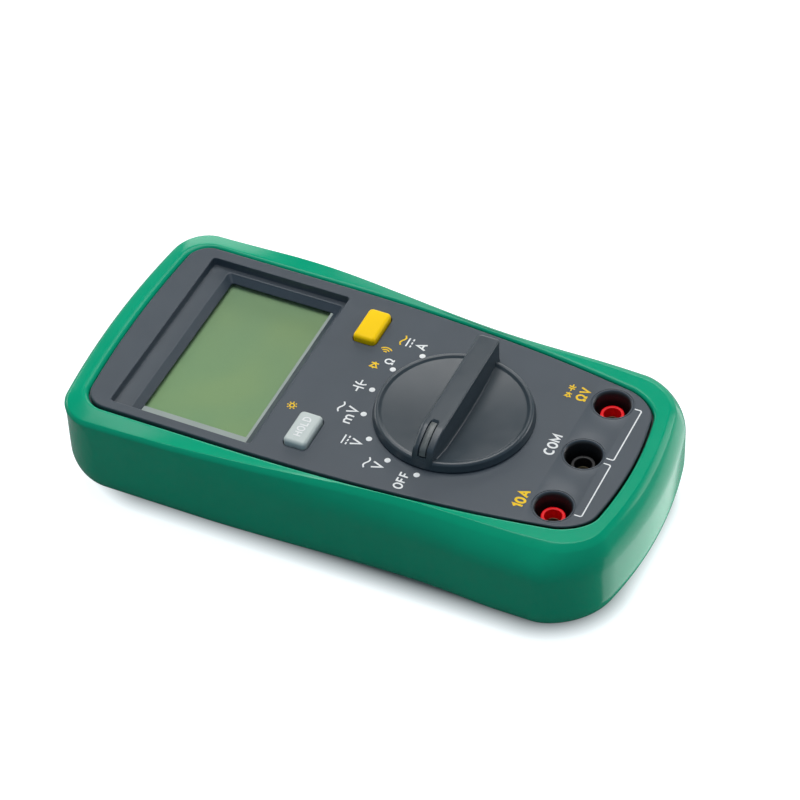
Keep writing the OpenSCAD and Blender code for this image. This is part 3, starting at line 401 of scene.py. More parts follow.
finish = {
    "boot_green": mouldedPlastic("bootGreen", (0.0, 0.345, 0.182), 0.20, 0.03, 2600, 0.0012, 0.2),
    "case_grey": caseGrey(),
    "knob_grey": mouldedPlastic("knobGrey", (0.033, 0.047, 0.058), 0.31, 0.05, 5200, 0.004, 0.5),
    "pointer_pale": mouldedPlastic("pointerPale", (0.105, 0.116, 0.114), 0.32, 0.06, 4000, 0.004),
    "key_pale": mouldedPlastic("keyPale", (0.51, 0.565, 0.54), 0.42, 0.04, 4200, 0.006),
    "key_yellow": mouldedPlastic("keyYellow", (0.97, 0.61, 0.0), 0.42, 0.03, 4200, 0.006, 0.1),
    "window_clear": windowClear(),
    "display_green": displayGreen(),
    "holder_white": mouldedPlastic("holderWhite", (0.75, 0.75, 0.72), 0.5),
    "dome_rubber": mouldedPlastic("domeRubber", (0.68, 0.68, 0.64), 0.7, 0.05, 3000, 0.01),
    "strip_rubber": mouldedPlastic("stripRubber", (0.62, 0.36, 0.40), 0.7, 0.08, 3000, 0.01),
    "board_green": mouldedPlastic("boardGreen", (0.02, 0.15, 0.06), 0.35, 0.15, 1800, 0.01, 0.5, 0.3),
    "sleeve_red": mouldedPlastic("sleeveRed", (0.95, 0.002, 0.008), 0.36, 0.03, 4200, 0.004, 0.25),
    "sleeve_black": mouldedPlastic("sleeveBlack", (0.010, 0.010, 0.011), 0.40, 0.1, 4200, 0.004, 0.3),
    "fuse_body": mouldedPlastic("fuseBody", (0.78, 0.75, 0.68), 0.45),
    "component_black": mouldedPlastic("componentBlack", (0.02, 0.02, 0.022), 0.5, 0.15),
    "component_brown": mouldedPlastic("componentBrown", (0.25, 0.10, 0.04), 0.4, 0.15),
    "cell_blue": mouldedPlastic("cellBlue", (0.05, 0.11, 0.30), 0.32, 0.05, 2000, 0.004, 0.5, 0.4),
    "track_gold": wornMetal("trackGold", (0.82, 0.60, 0.24), 0.25),
    "barrel_brass": wornMetal("barrelBrass", (0.40, 0.30, 0.16), 0.38, (1, 1, 0.1)),
    "steel": wornMetal("steelBright", (0.60, 0.60, 0.60), 0.3),
    "wire_shunt": wornMetal("shuntWire", (0.52, 0.33, 0.21), 0.35),
}
ink = {
    "white": (mouldedPlastic("inkWhite", (0.80, 0.81, 0.80), 0.6, 0.03, 6000, 0.002, 0.3), "holder_white"),
    "yellow": (mouldedPlastic("inkYellow", (0.88, 0.56, 0.01), 0.6, 0.03, 6000, 0.002, 0.3), "key_yellow"),
}
print("materials:", len(finish) + len(ink))

slotOf = {s["node"]: s["material_slot"] for s in frame["record"]["subparts"]}
for name, node in nodes.items():
    for place in node.material_slots:
        place.material = finish[slotOf[name]]


# Outlines of the face and of the boot

face = {
    "width": 63.8, "jackWidth": 48.2, "straight": 44.6,
    "jackCorner": 8.0, "displayCorner": 5.5, "jackBow": 3.0, "displayBow": 1.8, "bowReach": 40.0,
    "lip": 0.8, "wall": 2.0, "thick": 2.2, "grooveDepth": 2.0, "edgeRound": 0.42,
}
outlineSteps = {"end": 30, "corner": 24, "side": 100}
panelLow = caseLow[1] + face["lip"]
panelHigh = caseHigh[1] - face["lip"]
taperY = panelHigh - face["straight"]


def slabOutline(halfWidth, y0, y1, r0, r1):
    # Half an end, a corner arc, a side, a corner arc and half an end, then their mirror image
    n = outlineSteps
    end = np.linspace(0, 1, n["end"], endpoint=False)
    side = np.linspace(y0 + r0, y1 - r1, n["side"], endpoint=False)
    low = np.column_stack([(halfWidth - r0) * end, np.full(n["end"], y0)])
    lowCorner = arcPath((halfWidth - r0, y0 + r0), (r0, r0), -90, 0, n["corner"] + 1)[:-1]
    flank = np.column_stack([np.full(n["side"], halfWidth), side])
    highCorner = arcPath((halfWidth - r1, y1 - r1), (r1, r1), 0, 90, n["corner"] + 1)[:-1]
    high = lifted(((halfWidth - r1) * np.linspace(1, 0, n["end"] + 1))[:, None], y1)
    half = np.concatenate([low, lowCorner, flank, highCorner, high])
    return np.concatenate([half, half[-2:0:-1] * (-1, 1)])


def bowed(y, share, y0, y1, bow0, bow1):
    # Both ends curve: a point falls back by the bow times the square of its share of the half width
    reach = face["bowReach"]
    return y + share ** 2 * (bow0 * ease(1 - (y - y0) / reach) - bow1 * ease(1 - (y1 - y) / reach))


def faceHalfWidth(y):    # straight beside the display, then a parabola towards the jack end
    slope = (face["width"] - face["jackWidth"]) / 2 / (taperY - panelLow) ** 2
    return face["width"] / 2 - slope * np.maximum(0, taperY - y) ** 2


def faceOutline(grow):
    halfWidth, y0, y1 = face["width"] / 2 + grow, panelLow - grow, panelHigh + grow
    x, y = slabOutline(halfWidth, y0, y1, face["jackCorner"] + grow, face["displayCorner"] + grow).T
    share = x / halfWidth
    bent = bowed(y, share, y0, y1, face["jackBow"], face["displayBow"])
    return np.column_stack([share * (faceHalfWidth(y) + grow), bent])


# Protective boot

boot = {
    "gap": 0.3, "floor": 2.0, "bottomRound": 11.0, "flareShare": 0.7,
    "rimDisplay": 6.3, "rimWaist": 2.1, "rimJack": 6.5, "rimJackEnd": 4.6, "rimDisplayEnd": 6.2,
    "sideDisplay": 6.5, "sideWaist": 4.4, "sideJack": 5.4, "endJack": 8.0, "endDisplay": 7.3,
    "creaseDrop": 1.4, "creaseBow": 4.2, "wallBow": 6.4, "displayBow": 3.0,
    "creaseCorner": (9.0, 8.3), "wallCorner": (14.7, 12.3), "creaseRound": 0.75,
    "rimReach": (56.0, 62.0), "wallReach": (25.0, 60.0), "rimWaistAt": 4.0, "wallWaistAt": -4.0,
    "windowHalfWidth": 23.0, "windowTaper": 0.26, "windowInset": 6.3, "windowCorner": (12.0, 7.0),
    "rearInset": 5.5, "rearFlare": 7.0, "bead": 0.2, "rimDrop": 0.4, "rimGap": 0.45, "overhang": 1.9,
    "roll": (1.0, 1.9), "rollDrop": 1.05, "rollReach": (6.0, 8.0), "rollAt": (20, 38, 55, 70, 82),
    "windowEdge": 0.35, "baseLand": 0.6, "roundStep": 7.5, "edgeHold": (0.1, 0.3, 1.0), "cuts": 2,
    "flareAt": (1, 0.86, 0.72, 0.58, 0.45, 0.34, 0.25, 0.17, 0.10),
    "rimAt": (0.0, 0.09, 0.18, 0.3, 0.45, 0.6, 0.74, 0.84, 0.92, 1.0), "rimPower": 1.2,
}


def waisted(y, sizes, waistY, reach):
    # A size that is least at the waist and eases to its values towards both ends
    waist, jack, display = (boot[s] for s in sizes)
    toJack, toDisplay = ease((waistY - y) / reach[0]), ease((y - waistY) / reach[1])
    return waist + (jack - waist) * toJack + (display - waist) * toDisplay


def bootOutline(m, inset):
    # m runs from the crease of the rim (0) to the side wall (1)
    b = boot
    halfWidth = face["width"] / 2 + b["sideDisplay"] - inset
    y0 = panelLow - mix(b["rimJackEnd"], b["endJack"], m) + inset
    y1 = panelHigh + mix(b["rimDisplayEnd"], b["endDisplay"], m) - inset
    r0, r1 = (mix(b["creaseCorner"][i], b["wallCorner"][i], m) - inset for i in (0, 1))
    x, y = slabOutline(halfWidth, y0, y1, r0, r1).T
    share = x / halfWidth
    rim = waisted(y, ("rimWaist", "rimJack", "rimDisplay"), knobY + b["rimWaistAt"], b["rimReach"])
    side = waisted(y, ("sideWaist", "sideJack", "sideDisplay"), knobY + b["wallWaistAt"], b["wallReach"])
    crease = faceHalfWidth(y) + rim
    width = np.maximum(mix(crease, face["width"] / 2 + side, m), crease)
    bent = bowed(y, share, y0, y1, mix(b["creaseBow"], b["wallBow"], m), b["displayBow"])
    return np.column_stack([share * (width - inset), bent])


def creaseHeight(y):    # the rim falls away towards the display end
    return panelZ - boot["creaseDrop"] * ease((y - taperY) / face["straight"])


def windowOutline(inset):    # opening in the base, which ends short of the tapered part
    b = boot
    low = panelLow + b["windowTaper"] * (taperY - panelLow) - b["windowCorner"][0]
    high = panelHigh - b["windowInset"]
    r0, r1 = (r - inset for r in b["windowCorner"])
    return slabOutline(b["windowHalfWidth"] - inset, low + inset, high - inset, r0, r1)


def bootRows():
    # Closed section carried round the meter: base, rounding, wall, flare to the crease, rim with its roll
    # into the groove, inner wall and floor
    b = boot
    flareZ = panelZ * b["flareShare"]
    opening, e = windowOutline(0), b["windowEdge"]
    rows = [lifted(opening, b["floor"]), lifted(opening, e), lifted(windowOutline(-e), 0)]
    rows.append(lifted(bootOutline(1, b["bottomRound"] + b["baseLand"]), 0))
    for a in np.radians(np.arange(90, -1, -b["roundStep"])):
        ring = bootOutline(1, b["bottomRound"] * (1 - np.cos(a)))
        rows.append(lifted(ring, b["bottomRound"] * (1 - np.sin(a))))
    for t in b["flareAt"]:
        ring = bootOutline(1 - (1 - t) ** 2, 0)
        rows.append(lifted(ring, mix(creaseHeight(ring[:, 1]), flareZ, t)))
    crease = bootOutline(0, b["creaseRound"])
    groove = b["rimGap"]
    foot = faceOutline(groove)
    along = foot[:, 1]
    atEnd = ease((along - panelHigh + b["rollReach"][0]) / b["rollReach"][1])[:, None]
    edge = mix(*(faceOutline(groove + r) for r in b["roll"]), atEnd)
    rimZ = panelZ + b["bead"] - b["rimDrop"] * ease((along - panelLow) / (panelHigh - panelLow))
    creaseZ = creaseHeight(crease[:, 1]) + b["bead"]
    for f in b["rimAt"]:
        rows.append(lifted(mix(crease, edge, f), mix(creaseZ, rimZ, 1 - (1 - f) ** b["rimPower"])))
    for a in np.radians(b["rollAt"]):
        ring = mix(foot, edge, 1 - np.sin(a))
        rows.append(lifted(ring, rimZ - b["rollDrop"] * (1 - np.cos(a))))
    inner = face["lip"] + b["gap"]
    stepZ = panelZ - b["overhang"]
    wideZ = b["floor"] + b["rearFlare"]
    floorGrow = inner - b["rearInset"]
    aboveStep, belowStep, aboveFlare = b["edgeHold"]    # rows that keep an edge crisp when corners are cut
    path = [(groove, rimZ - b["rollDrop"]), (groove, stepZ + aboveStep), (groove, stepZ),
            (inner, stepZ), (inner, stepZ - belowStep), (inner, wideZ + aboveFlare), (inner, wideZ),
            (mix(inner, floorGrow, 0.5), mix(wideZ, b["floor"], 0.5)), (floorGrow, b["floor"])]
    return np.stack(rows + [lifted(faceOutline(g), z) for g, z in path])


bootGrid = cornersCut(bootRows(), boot["cuts"])
makePiece("boot_shell", [gridPart(bootGrid, True)], finish["boot_green"], "meter",
          ["protective_boot"], sharpAngle=60)
print("boot:", bootGrid.shape[0], "rows of", bootGrid.shape[1])


# Front case with its face, display recess, key holes and jack wells

flatBand = 0.1    # flat strip beside a rounded edge, which keeps the shading of the face even
recess = {
    "width": 57.0, "length": 39.5, "fromEnd": 7.8, "depth": 2.4, "corner": 1.0, "brim": 0.28, "edge": 0.35,
    "ledge": 1.5, "ledgeEnd": 5.0, "bevel": 1.75, "lipHeight": 0.3, "lipEdge": 0.12, "rim": 1.5,
    "seat": 0.1, "seatCorner": 0.3, "openCorner": (0.5, 0.3), "fillet": (0.2, 0.06),
    "nearShift": 1.25, "nearWiden": 0.5, "edgeAt": (90, 70, 45),
}
wells = {
    "radius": 4.5, "wall": 1.2, "bevel": 0.62, "bevelEdge": (0.08, 0.05), "hold": 4, "footGap": 0.1,
    "ring": 0.16, "roll": 0.26, "rollAt": (-40, -20, 0, 15, 30, 45),
    "line": 0.14, "lineDepth": 0.2, "lineEdge": 0.04, "count": 96,
}
hub = {"bore": 7.98, "collar": 9.98, "collarDepth": 4.0, "play": 0.08, "count": 96}
keys = {
    "width": 11.2, "length": 6.2, "x": 20.2, "fromKnob": 32.0, "height": 1.8, "gap": 0.25, "holeEdge": 0.2,
    "holeBand": 0.08, "corner": 1.2, "leastCorner": 0.25, "round": 0.95, "crown": 0.16,
    "crownShare": (0.6, 0.4), "topAt": (0.75, 0.5, 0.25), "flange": 1.0, "flangeThick": 1.2, "flangeGap": 0.1,
    "stem": (2.0, 0.7), "stemSink": 0.05, "stemCorner": 0.1, "stemEdge": 0.02,
}
keyY = knobY + keys["fromKnob"]
underZ = panelZ - face["thick"]
partZ = caseLow[2]
sleeveFoot = boxOf("jack_sleeve_common")[0][2]


def outerRows():
    # Under the face, down inside the wall, up outside to the groove, and over the rounded edge on to the face
    lip, r = face["lip"], face["edgeRound"]
    inner = lip - face["wall"]
    grooveZ = panelZ - face["grooveDepth"]
    path = [(inner, underZ), (inner, partZ), (lip, partZ), (lip, grooveZ), (0, grooveZ)]
    out, up = quarterRound(r, 0, 90, 7)
    path += list(zip(out - r, panelZ - r + up)) + [(-r - flatBand, panelZ)]
    return ringRows(faceOutline, path)


def windowOpening():    # corners of the opening that the slope round the window leaves
    c = recess
    inset = c["ledge"] + c["bevel"]
    top = panelHigh - c["fromEnd"]
    halfW = c["width"] / 2 - inset
    low = -halfW - c["nearShift"], top - c["length"] + inset
    return np.array(low), np.array([halfW, top - c["ledgeEnd"] - c["bevel"]])


def recessRows():
    # Over the rounded brim, down to the ledge, over its edge and down the slope to the window seat
    c = recess
    halfW = c["width"] / 2
    top = panelHigh - c["fromEnd"]
    low = top - c["length"]
    ledgeZ = panelZ - c["depth"]
    lensTop = lensHigh[2]
    r, e = c["brim"], c["edge"]
    (x0, y0), (x1, y1) = windowOpening()

    def brim(g):
        return rectLoop(-halfW - c["nearWiden"] - g, halfW + g, low - g, top + g, c["corner"] + g)

    def opening(g):    # g runs outwards from the window's edge
        corner, growth = c["openCorner"]
        return rectLoop(x0 - g, x1 + g, y0 - g, y1 + g, corner + growth * g)

    def seat(z):
        (left, low), (right, high) = lensLow[:2] - c["seat"], lensHigh[:2] + c["seat"]
        return lifted(rectLoop(left, right, low, high, c["seatCorner"]), z)

    out, up = quarterRound(r, 90, 0)
    fillet, middle = c["fillet"]
    over = [(r + flatBand, panelZ)] + list(zip(r - out, panelZ - r + up))
    over += [(0, ledgeZ + fillet), (-middle, ledgeZ + middle), (-fillet, ledgeZ)]
    bend = np.sin(np.radians(c["edgeAt"]))
    lipZ = lensTop + c["lipHeight"]
    down = [(c["bevel"] + e, ledgeZ)] + list(zip(c["bevel"] - e + e * bend, ledgeZ - e * (1 - bend)))
    down += [(c["lipEdge"], lipZ), (0, lipZ - c["lipEdge"]), (0, lensTop)]
    rows = [ringRows(brim, over), ringRows(opening, down), [seat(lensTop), seat(lensLow[2])],
            ringRows(brim, [(c["rim"], lensLow[2]), (c["rim"], underZ)])]
    return np.concatenate(rows)


def wellRows(centre):
    # Fine line, rolled ring, bevel, well down to the foot of the sleeve, and up to the underside of the face
    w = wells
    foot = sleeveFoot + w["footGap"]
    ring = w["bevel"] + w["ring"]
    line = ring + w["line"]
    lineZ, bevelZ = panelZ - w["lineDepth"], panelZ - w["bevel"]
    tilt = np.radians(w["rollAt"])    # the ring rolls over into the bevel
    over = zip(w["bevel"] - w["roll"] * np.sin(tilt), panelZ - w["roll"] * (1 - np.cos(tilt)))
    edge, edgeUp = w["bevelEdge"]
    path = [(line + flatBand, panelZ), (line, panelZ - w["lineEdge"]), (line, lineZ), (ring, lineZ)]
    path += list(over) + [(edge, bevelZ + edgeUp), (0, bevelZ - edge), (0, panelZ - w["hold"])]
    path += [(0, foot), (w["wall"], foot), (w["wall"], underZ)]
    return ringRows(lambda g: circleLoop(centre, w["radius"] + g, w["count"]), path)


def keyLoop(x, grow):    # outline of a key, grown on all sides
    k = keys
    w, l = k["width"] / 2 + grow, k["length"] / 2 + grow
    return rectLoop(x - w, x + w, keyY - l, keyY + l, max(k["corner"] + grow, k["leastCorner"]))


def keyHoleRows(x):    # over a rounded brim and straight down through the face
    r = keys["holeEdge"]
    out, up = quarterRound(r, 90, 0, 4)
    path = [(r + keys["holeBand"], panelZ)] + list(zip(r - out, panelZ - r + up)) + [(0, underZ)]
    return ringRows(lambda g: keyLoop(x, keys["gap"] + g), path)


def hubRows():    # down the bore, out under its collar and up to the underside of the face
    collarZ = underZ - hub["collarDepth"]
    path = [(hub["bore"], panelZ), (hub["bore"], collarZ), (hub["collar"], collarZ), (hub["collar"], underZ)]
    return ringRows(lambda r: circleLoop((knobX, knobY), r, hub["count"]), path)


rims = outerRows()
holes = [recessRows(), hubRows()] + [keyHoleRows(x) for x in (-keys["x"], keys["x"])]
holes += [wellRows(mountAt[m][:2]) for m in ("jack_amps", "jack_common", "jack_volts")]
caseParts = [gridPart(rims)] + [gridPart(h) for h in holes]
caseParts.append(holedPart([rims[-1][:, :2]] + [h[0][:, :2] for h in holes], panelZ, True))
caseParts.append(holedPart([rims[0][:, :2]] + [h[-1][:, :2] for h in holes], underZ, False))
makePiece("front_shell", caseParts, finish["case_grey"], "meter", ["front_case"], sharpAngle=50)
print("front case:", len(holes), "openings")


# Display

paneShape = {"clear": 0.01, "corner": 0.3, "edge": 0.06}
for name, node in (("display_pane", "display_glass"), ("clear_window", "display_window")):
    low, high = boxOf(node)
    slot = slotOf[node]
    top = high[2] - paneShape["clear"]
    slab = padParts(low[0], high[0], low[1], high[1], low[2], top, paneShape["corner"], paneShape["edge"])
    makePiece(name, slab, finish[slot], "meter", [node])

# Pale strip along the near side and the jack side of the window: a painted highlight of the window's edge, put
# only on the two sides that show it lit
# the strip's pale colour is a painted highlight
paintedEdgeHighlight = mouldedPlastic("paintedEdgeHighlight", (0.300, 0.350, 0.325), 0.34, 0.05, 4000, 0.002, 0.4)
edgeHighlight = {
    "side": 2.5, "jackSide": 0.8, "clear": 0.03, "gap": 0.01, "sunk": 0.05, "proud": 0.05,
    "corner": 0.05, "round": 0.03,
}
openLow, openHigh = windowOpening()
edgeX, edgeY = openLow + edgeHighlight["clear"]
endX, endY = openHigh - edgeHighlight["clear"]
innerX = openLow[0] + edgeHighlight["side"]
edgeZ = lensHigh[2] - edgeHighlight["sunk"], lensHigh[2] + edgeHighlight["proud"]
edgeShape = *edgeZ, edgeHighlight["corner"], edgeHighlight["round"]
highlightParts = padParts(edgeX, innerX, edgeY, endY, *edgeShape)
highlightParts += padParts(innerX + edgeHighlight["gap"], endX, edgeY, openLow[1] + edgeHighlight["jackSide"], *edgeShape)
makePiece("window_edge_highlight", highlightParts, paintedEdgeHighlight, "meter")
print("display in place")


# Keys

def crownAt(x, y, x0):    # height of a key's top, a shallow pillow
    k = keys
    across, along = k["crownShare"]
    u, v = (x - x0) / (k["width"] / 2), (y - keyY) / (k["length"] / 2)
    return panelZ + k["height"] - k["crown"] * (across * u ** 2 + along * v ** 2)


def keyParts(x0, node):
    # Flange, upright wall, rounded shoulder and pillowed top
    k = keys
    flangeTop = underZ - k["flangeGap"]
    flangeLow = flangeTop - k["flangeThick"]
    r = k["round"]
    foot = (k["flange"], flangeLow), (k["flange"], flangeTop), (0, flangeTop)
    rows = [lifted(keyLoop(x0, grow), z) for grow, z in foot]
    for a in np.radians(np.linspace(0, 90, 9)):
        ring = keyLoop(x0, -r * (1 - np.cos(a)))
        rows.append(lifted(ring, crownAt(ring[:, 0], ring[:, 1], x0) - r * (1 - np.sin(a))))
    for t in k["topAt"]:
        ring = mix(np.array([x0, keyY]), keyLoop(x0, -r), t)
        rows.append(lifted(ring, crownAt(ring[:, 0], ring[:, 1], x0)))
    body = tubeParts(np.stack(rows))
    body[-1][0][-1, 2] = crownAt(x0, keyY, x0)    # the pole of the top cap
    w, l = k["stem"]
    stemZ = boxOf(node)[0][2], flangeLow + k["stemSink"]
    return body + padParts(x0 - w, x0 + w, keyY - l, keyY + l, *stemZ, k["stemCorner"], k["stemEdge"])


for key, x in (("hold", -keys["x"]), ("select", keys["x"])):
    node = key + "_key"
    slot = slotOf[node]
    makePiece(key + "_cap", keyParts(x, node), finish[slot], key + "_button", [node], sharpAngle=50)

# Rubber domes under the keys

dome = {
    "foot": 0.4, "footIn": 1.6, "wall": 0.5, "skirtIn": 0.6, "topShare": 0.55, "edge": 0.12, "pole": 0.2,
    "count": 48,
}


def domeParts(low, high):
    # Foot ring, sloping skirt and flat top, hollow below
    d = dome
    centre, z0, z1 = (low[:2] + high[:2]) / 2, low[2], high[2]
    out = (high[0] - low[0]) / 2
    top = out * d["topShare"]
    w, e = d["wall"], d["edge"]
    inner, footZ = out - d["footIn"] * w, z0 + d["foot"]
    profile = [(d["pole"], z1 - w), (top - w, z1 - w), (inner, footZ), (inner, z0), (out, z0),
               (out, footZ - e), (out - e, footZ), (out - d["skirtIn"] * w, footZ + e), (top + e, z1 - e),
               (top, z1), (d["pole"], z1)]
    return tubeParts(turned(profile, centre, d["count"]))


for key in ("hold", "select"):
    node, joint = key + "_dome", key + "_press"
    low, high = boxOf(node)
    slot = slotOf[node]
    rubber = makePiece(key + "_rubber", domeParts(low, high), finish[slot], "meter", [node])
    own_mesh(rubber)
print("keys in place")


# Selector knob

knob = {
    "radius": 20.4, "lift": 0.3, "rim": 2.5, "rimArc": (12, 90, 9), "draft": 0.4, "edge": 0.9, "lip": 1.15,
    "lipEdge": 0.1, "lipStep": 0.6, "slopeEdge": (0.08, 0.06), "dip": 1.2, "dishStart": (0.06, 0.4),
    "dishRings": 30, "pole": 0.3, "hubEdge": 0.4, "footEdge": 0.12, "fine": 0.02, "count": 200,
    "barHeight": 8.0, "barTop": 6.1, "barFoot": 7.2, "barIn": 0.2, "barTail": 1.6, "endDraw": 0.3,
    "noseLength": 7.9, "noseDrop": 2.3, "footRound": 0.35, "nearRound": 0.38, "farRound": 1.15,
    "strip": 1.6, "stripGap": 0.35, "stripDepth": 0.6, "stripLength": 8.5, "stripFoot": 1.0, "slip": 0.05,
}
knobLow = boxOf("selector_knob")[0]
knobBase = panelZ + knob["lift"]
dishRadius = knob["radius"] - knob["draft"] - knob["lip"] - knob["lipStep"]


def dishHeight(r):    # a shallow bowl that is lowest at the axis
    share = np.minimum(r / dishRadius, 1)
    return panelZ + knob["rim"] - knob["lipStep"] - knob["dip"] * (1 - share ** 2)


def discGrid():
    # Hub, drafted side, rounded rim, lip with a sloping inner edge, and the bowl
    k = knob
    rimZ = panelZ + k["rim"]
    topR = k["radius"] - k["draft"]
    lipR = topR - k["lip"]
    hubR = hub["bore"] - hub["play"]
    foot = k["footEdge"]
    profile = [(hubR - k["hubEdge"], knobLow[2]), (hubR, knobLow[2] + k["hubEdge"]), (hubR, knobBase),
               (k["radius"] - foot, knobBase), (k["radius"], knobBase + foot),
               (topR + k["fine"], rimZ - k["edge"])]
    out, up = quarterRound(k["edge"], *k["rimArc"])
    profile += list(zip(topR - k["edge"] + out, rimZ - k["edge"] + up))
    slopeZ = rimZ - k["lipStep"]
    e, (slopeOut, slopeUp) = k["lipEdge"], k["slopeEdge"]
    profile += [(lipR + e, rimZ - k["fine"]), (lipR - e, rimZ - e), (dishRadius + slopeOut, slopeZ + slopeUp)]
    first, second = (dishRadius - d for d in k["dishStart"])
    rings = np.concatenate([[first], np.linspace(second, k["pole"], k["dishRings"])])
    profile += list(zip(rings, dishHeight(rings)))
    return turned(profile, (knobX, knobY), k["count"])


# Steps and small rounds of the finger bar; a middle, shoulder, wall or flare of three numbers is a start,
# an end and a count
bar = {
    "nose": ((0, 0.97), (0.06, 0.7), (0.15, 0.42), (0.20, 0.34)),    # shares of its length and of the height
    "slopeFrom": 0.25, "slopePower": 1.5, "slopeCount": 7,
    "tail": ((-1.2, 0), (-0.5, 0.06), (-0.12, 0.30), (0, 0.75)), "cuts": 3,
    "fineTo": 12.5, "fineStep": 0.07, "levelFrom": 12.8, "levelCount": 60, "tailRun": (1.6, 1.5),
    "tailCount": 24, "noseDraw": (12, 8), "tailDraw": (0.45, 0.9), "flarePower": 4,
    "footSink": (2, 17.3, 1.2), "leastRise": 0.15,
    "slotColumns": (0.2, 0.03, -0.03, -0.1), "middle": (-0.9, 0.9, 7), "slotRound": 0.06,
    "shoulder": (12, 90, 8), "wallAt": (0.18, 0.9, 7), "flareArc": (0, 75, 5), "flareSink": 0.02,
}


def barLine():
    # Top line of the bar as (place along it, drop below its top): up the nose, level, and over the tail
    k, b = knob, bar
    start, end = -k["radius"] + k["barIn"], k["radius"] + k["barTail"]
    tall = k["barHeight"] - k["lift"]
    nose = np.array(b["nose"]) * (k["noseLength"], tall)
    t = np.linspace(0, 1, b["slopeCount"])
    drop = k["noseDrop"] * (1 - t) ** b["slopePower"]
    slope = np.column_stack([mix(b["slopeFrom"], 1, t) * k["noseLength"], drop])
    line = np.concatenate([nose + (start, 0), slope + (start, 0), np.array(b["tail"]) + (end, 0)])
    line = cornersCut(line, b["cuts"], False)
    run = np.concatenate([[0], np.cumsum(np.hypot(*np.diff(line, axis=0).T))])
    fine = np.arange(0, b["fineTo"], b["fineStep"])    # along the nose, where the pointer's slot ends
    levelEnd, tailStart = (run[-1] - r for r in b["tailRun"])
    level = np.linspace(b["levelFrom"], levelEnd, b["levelCount"])
    steps = np.concatenate([fine, level, np.linspace(tailStart, run[-1], b["tailCount"])])
    line = np.column_stack([np.interp(steps, run, line[:, i]) for i in (0, 1)])
    slopeAt = np.gradient(line, axis=0)
    slopeAt /= np.hypot(*slopeAt.T)[:, None]
    return line[:, 0], panelZ + k["barHeight"] - line[:, 1], np.column_stack([slopeAt[:, 1], slopeAt[:, 0]])


barX, barTopZ, barNormal = barLine()


def bandDepth(x, y, z, halfWidth, foot):    # how far a point lies inside the round-ended band of the pointer
    along = np.maximum(x + knob["radius"] - knob["stripLength"], 0)
    return np.minimum(halfWidth - np.hypot(along, y), z - panelZ - knob["rim"] - foot)


def barGrid():
    # Rows along the bar; each goes up the near side, over the top and down the far side
    k, b = knob, bar
    tall = barTopZ - knobBase
    end = k["radius"] + k["barTail"]
    noseAt, noseReach = b["noseDraw"]
    tailIn, tailReach = b["tailDraw"]
    sinkDepth, sinkAt, sinkReach = b["footSink"]
    draw = k["endDraw"] * ease((-barX - noseAt) / noseReach)
    draw = draw + tailIn * ease((barX - end + tailReach) / tailReach)
    topHalf = k["barTop"] / 2 - draw
    spread = (k["barFoot"] - k["barTop"]) / 2 * np.maximum(0, 1 - (barX / k["radius"]) ** b["flarePower"])
    spread = spread * tall / k["barHeight"]
    footZ = dishHeight(np.hypot(barX, topHalf + spread))
    footZ = footZ - sinkDepth * ease((np.abs(barX) - sinkAt) / sinkReach)
    footZ = np.minimum(np.maximum(footZ, knobBase), barTopZ - b["leastRise"])
    slotEdge = k["strip"] / 2 + k["stripGap"]
    columns = -slotEdge - np.array(b["slotColumns"])
    middle = np.concatenate([columns, np.linspace(*b["middle"]), -columns[::-1]])

    def side(sign, r):    # columns from the foot to the flat top on one side
        r = np.minimum(r, tall / 2)
        low = np.minimum(k["footRound"], (barTopZ - footZ) / 3)
        shoulder = np.radians(np.linspace(*b["shoulder"]))
        y = topHalf[:, None] - r[:, None] * (1 - np.cos(shoulder))
        z = barTopZ[:, None] - r[:, None] * (1 - np.sin(shoulder))
        wallTop = np.stack([y[:, 0], z[:, 0]], -1)
        wallFoot = np.stack([topHalf + spread * (barTopZ - footZ) / tall, footZ], -1)
        wall = mix(wallFoot[:, None], wallTop[:, None], np.linspace(*b["wallAt"])[None, :, None])
        a = np.radians(np.linspace(*b["flareArc"]))
        flareY = wallFoot[:, :1] + low[:, None] * (1 - np.sin(a))
        flareZ = footZ[:, None] + low[:, None] * (1 - np.cos(a)) - b["flareSink"]
        base = np.stack([flareY[:, :1], np.full_like(flareY[:, :1], knobBase)], -1)
        half = np.concatenate([base, np.stack([flareY, flareZ], -1), wall, np.stack([y, z], -1)], axis=1)
        return half * (sign, 1)

    near = side(-1, np.full_like(tall, k["nearRound"]))
    far = side(1, np.full_like(tall, k["farRound"]))[:, ::-1]
    topY = np.broadcast_to(middle, (len(barX), len(middle)))
    top = np.stack([topY, np.broadcast_to(barTopZ[:, None], topY.shape)], -1)
    ring = np.concatenate([near, top, far], axis=1)
    x = np.broadcast_to(barX[:, None], ring.shape[:2])
    inside = bandDepth(x, ring[..., 0], barTopZ[:, None], slotEdge, k["stripFoot"] - k["stripGap"])
    sink = k["stripDepth"] * ease(inside / b["slotRound"] + 0.5)
    place = np.stack([x - sink * barNormal[:, :1], ring[..., 0], ring[..., 1] - sink * barNormal[:, 1:]], -1)
    return place + (knobX, knobY, 0)


pointer = {
    "clear": 0.01, "leastSquare": 0.02, "side": ((-1, 0.2), (-0.97, 0.1)), "shoulder": -0.86, "crown": 0.02,
}


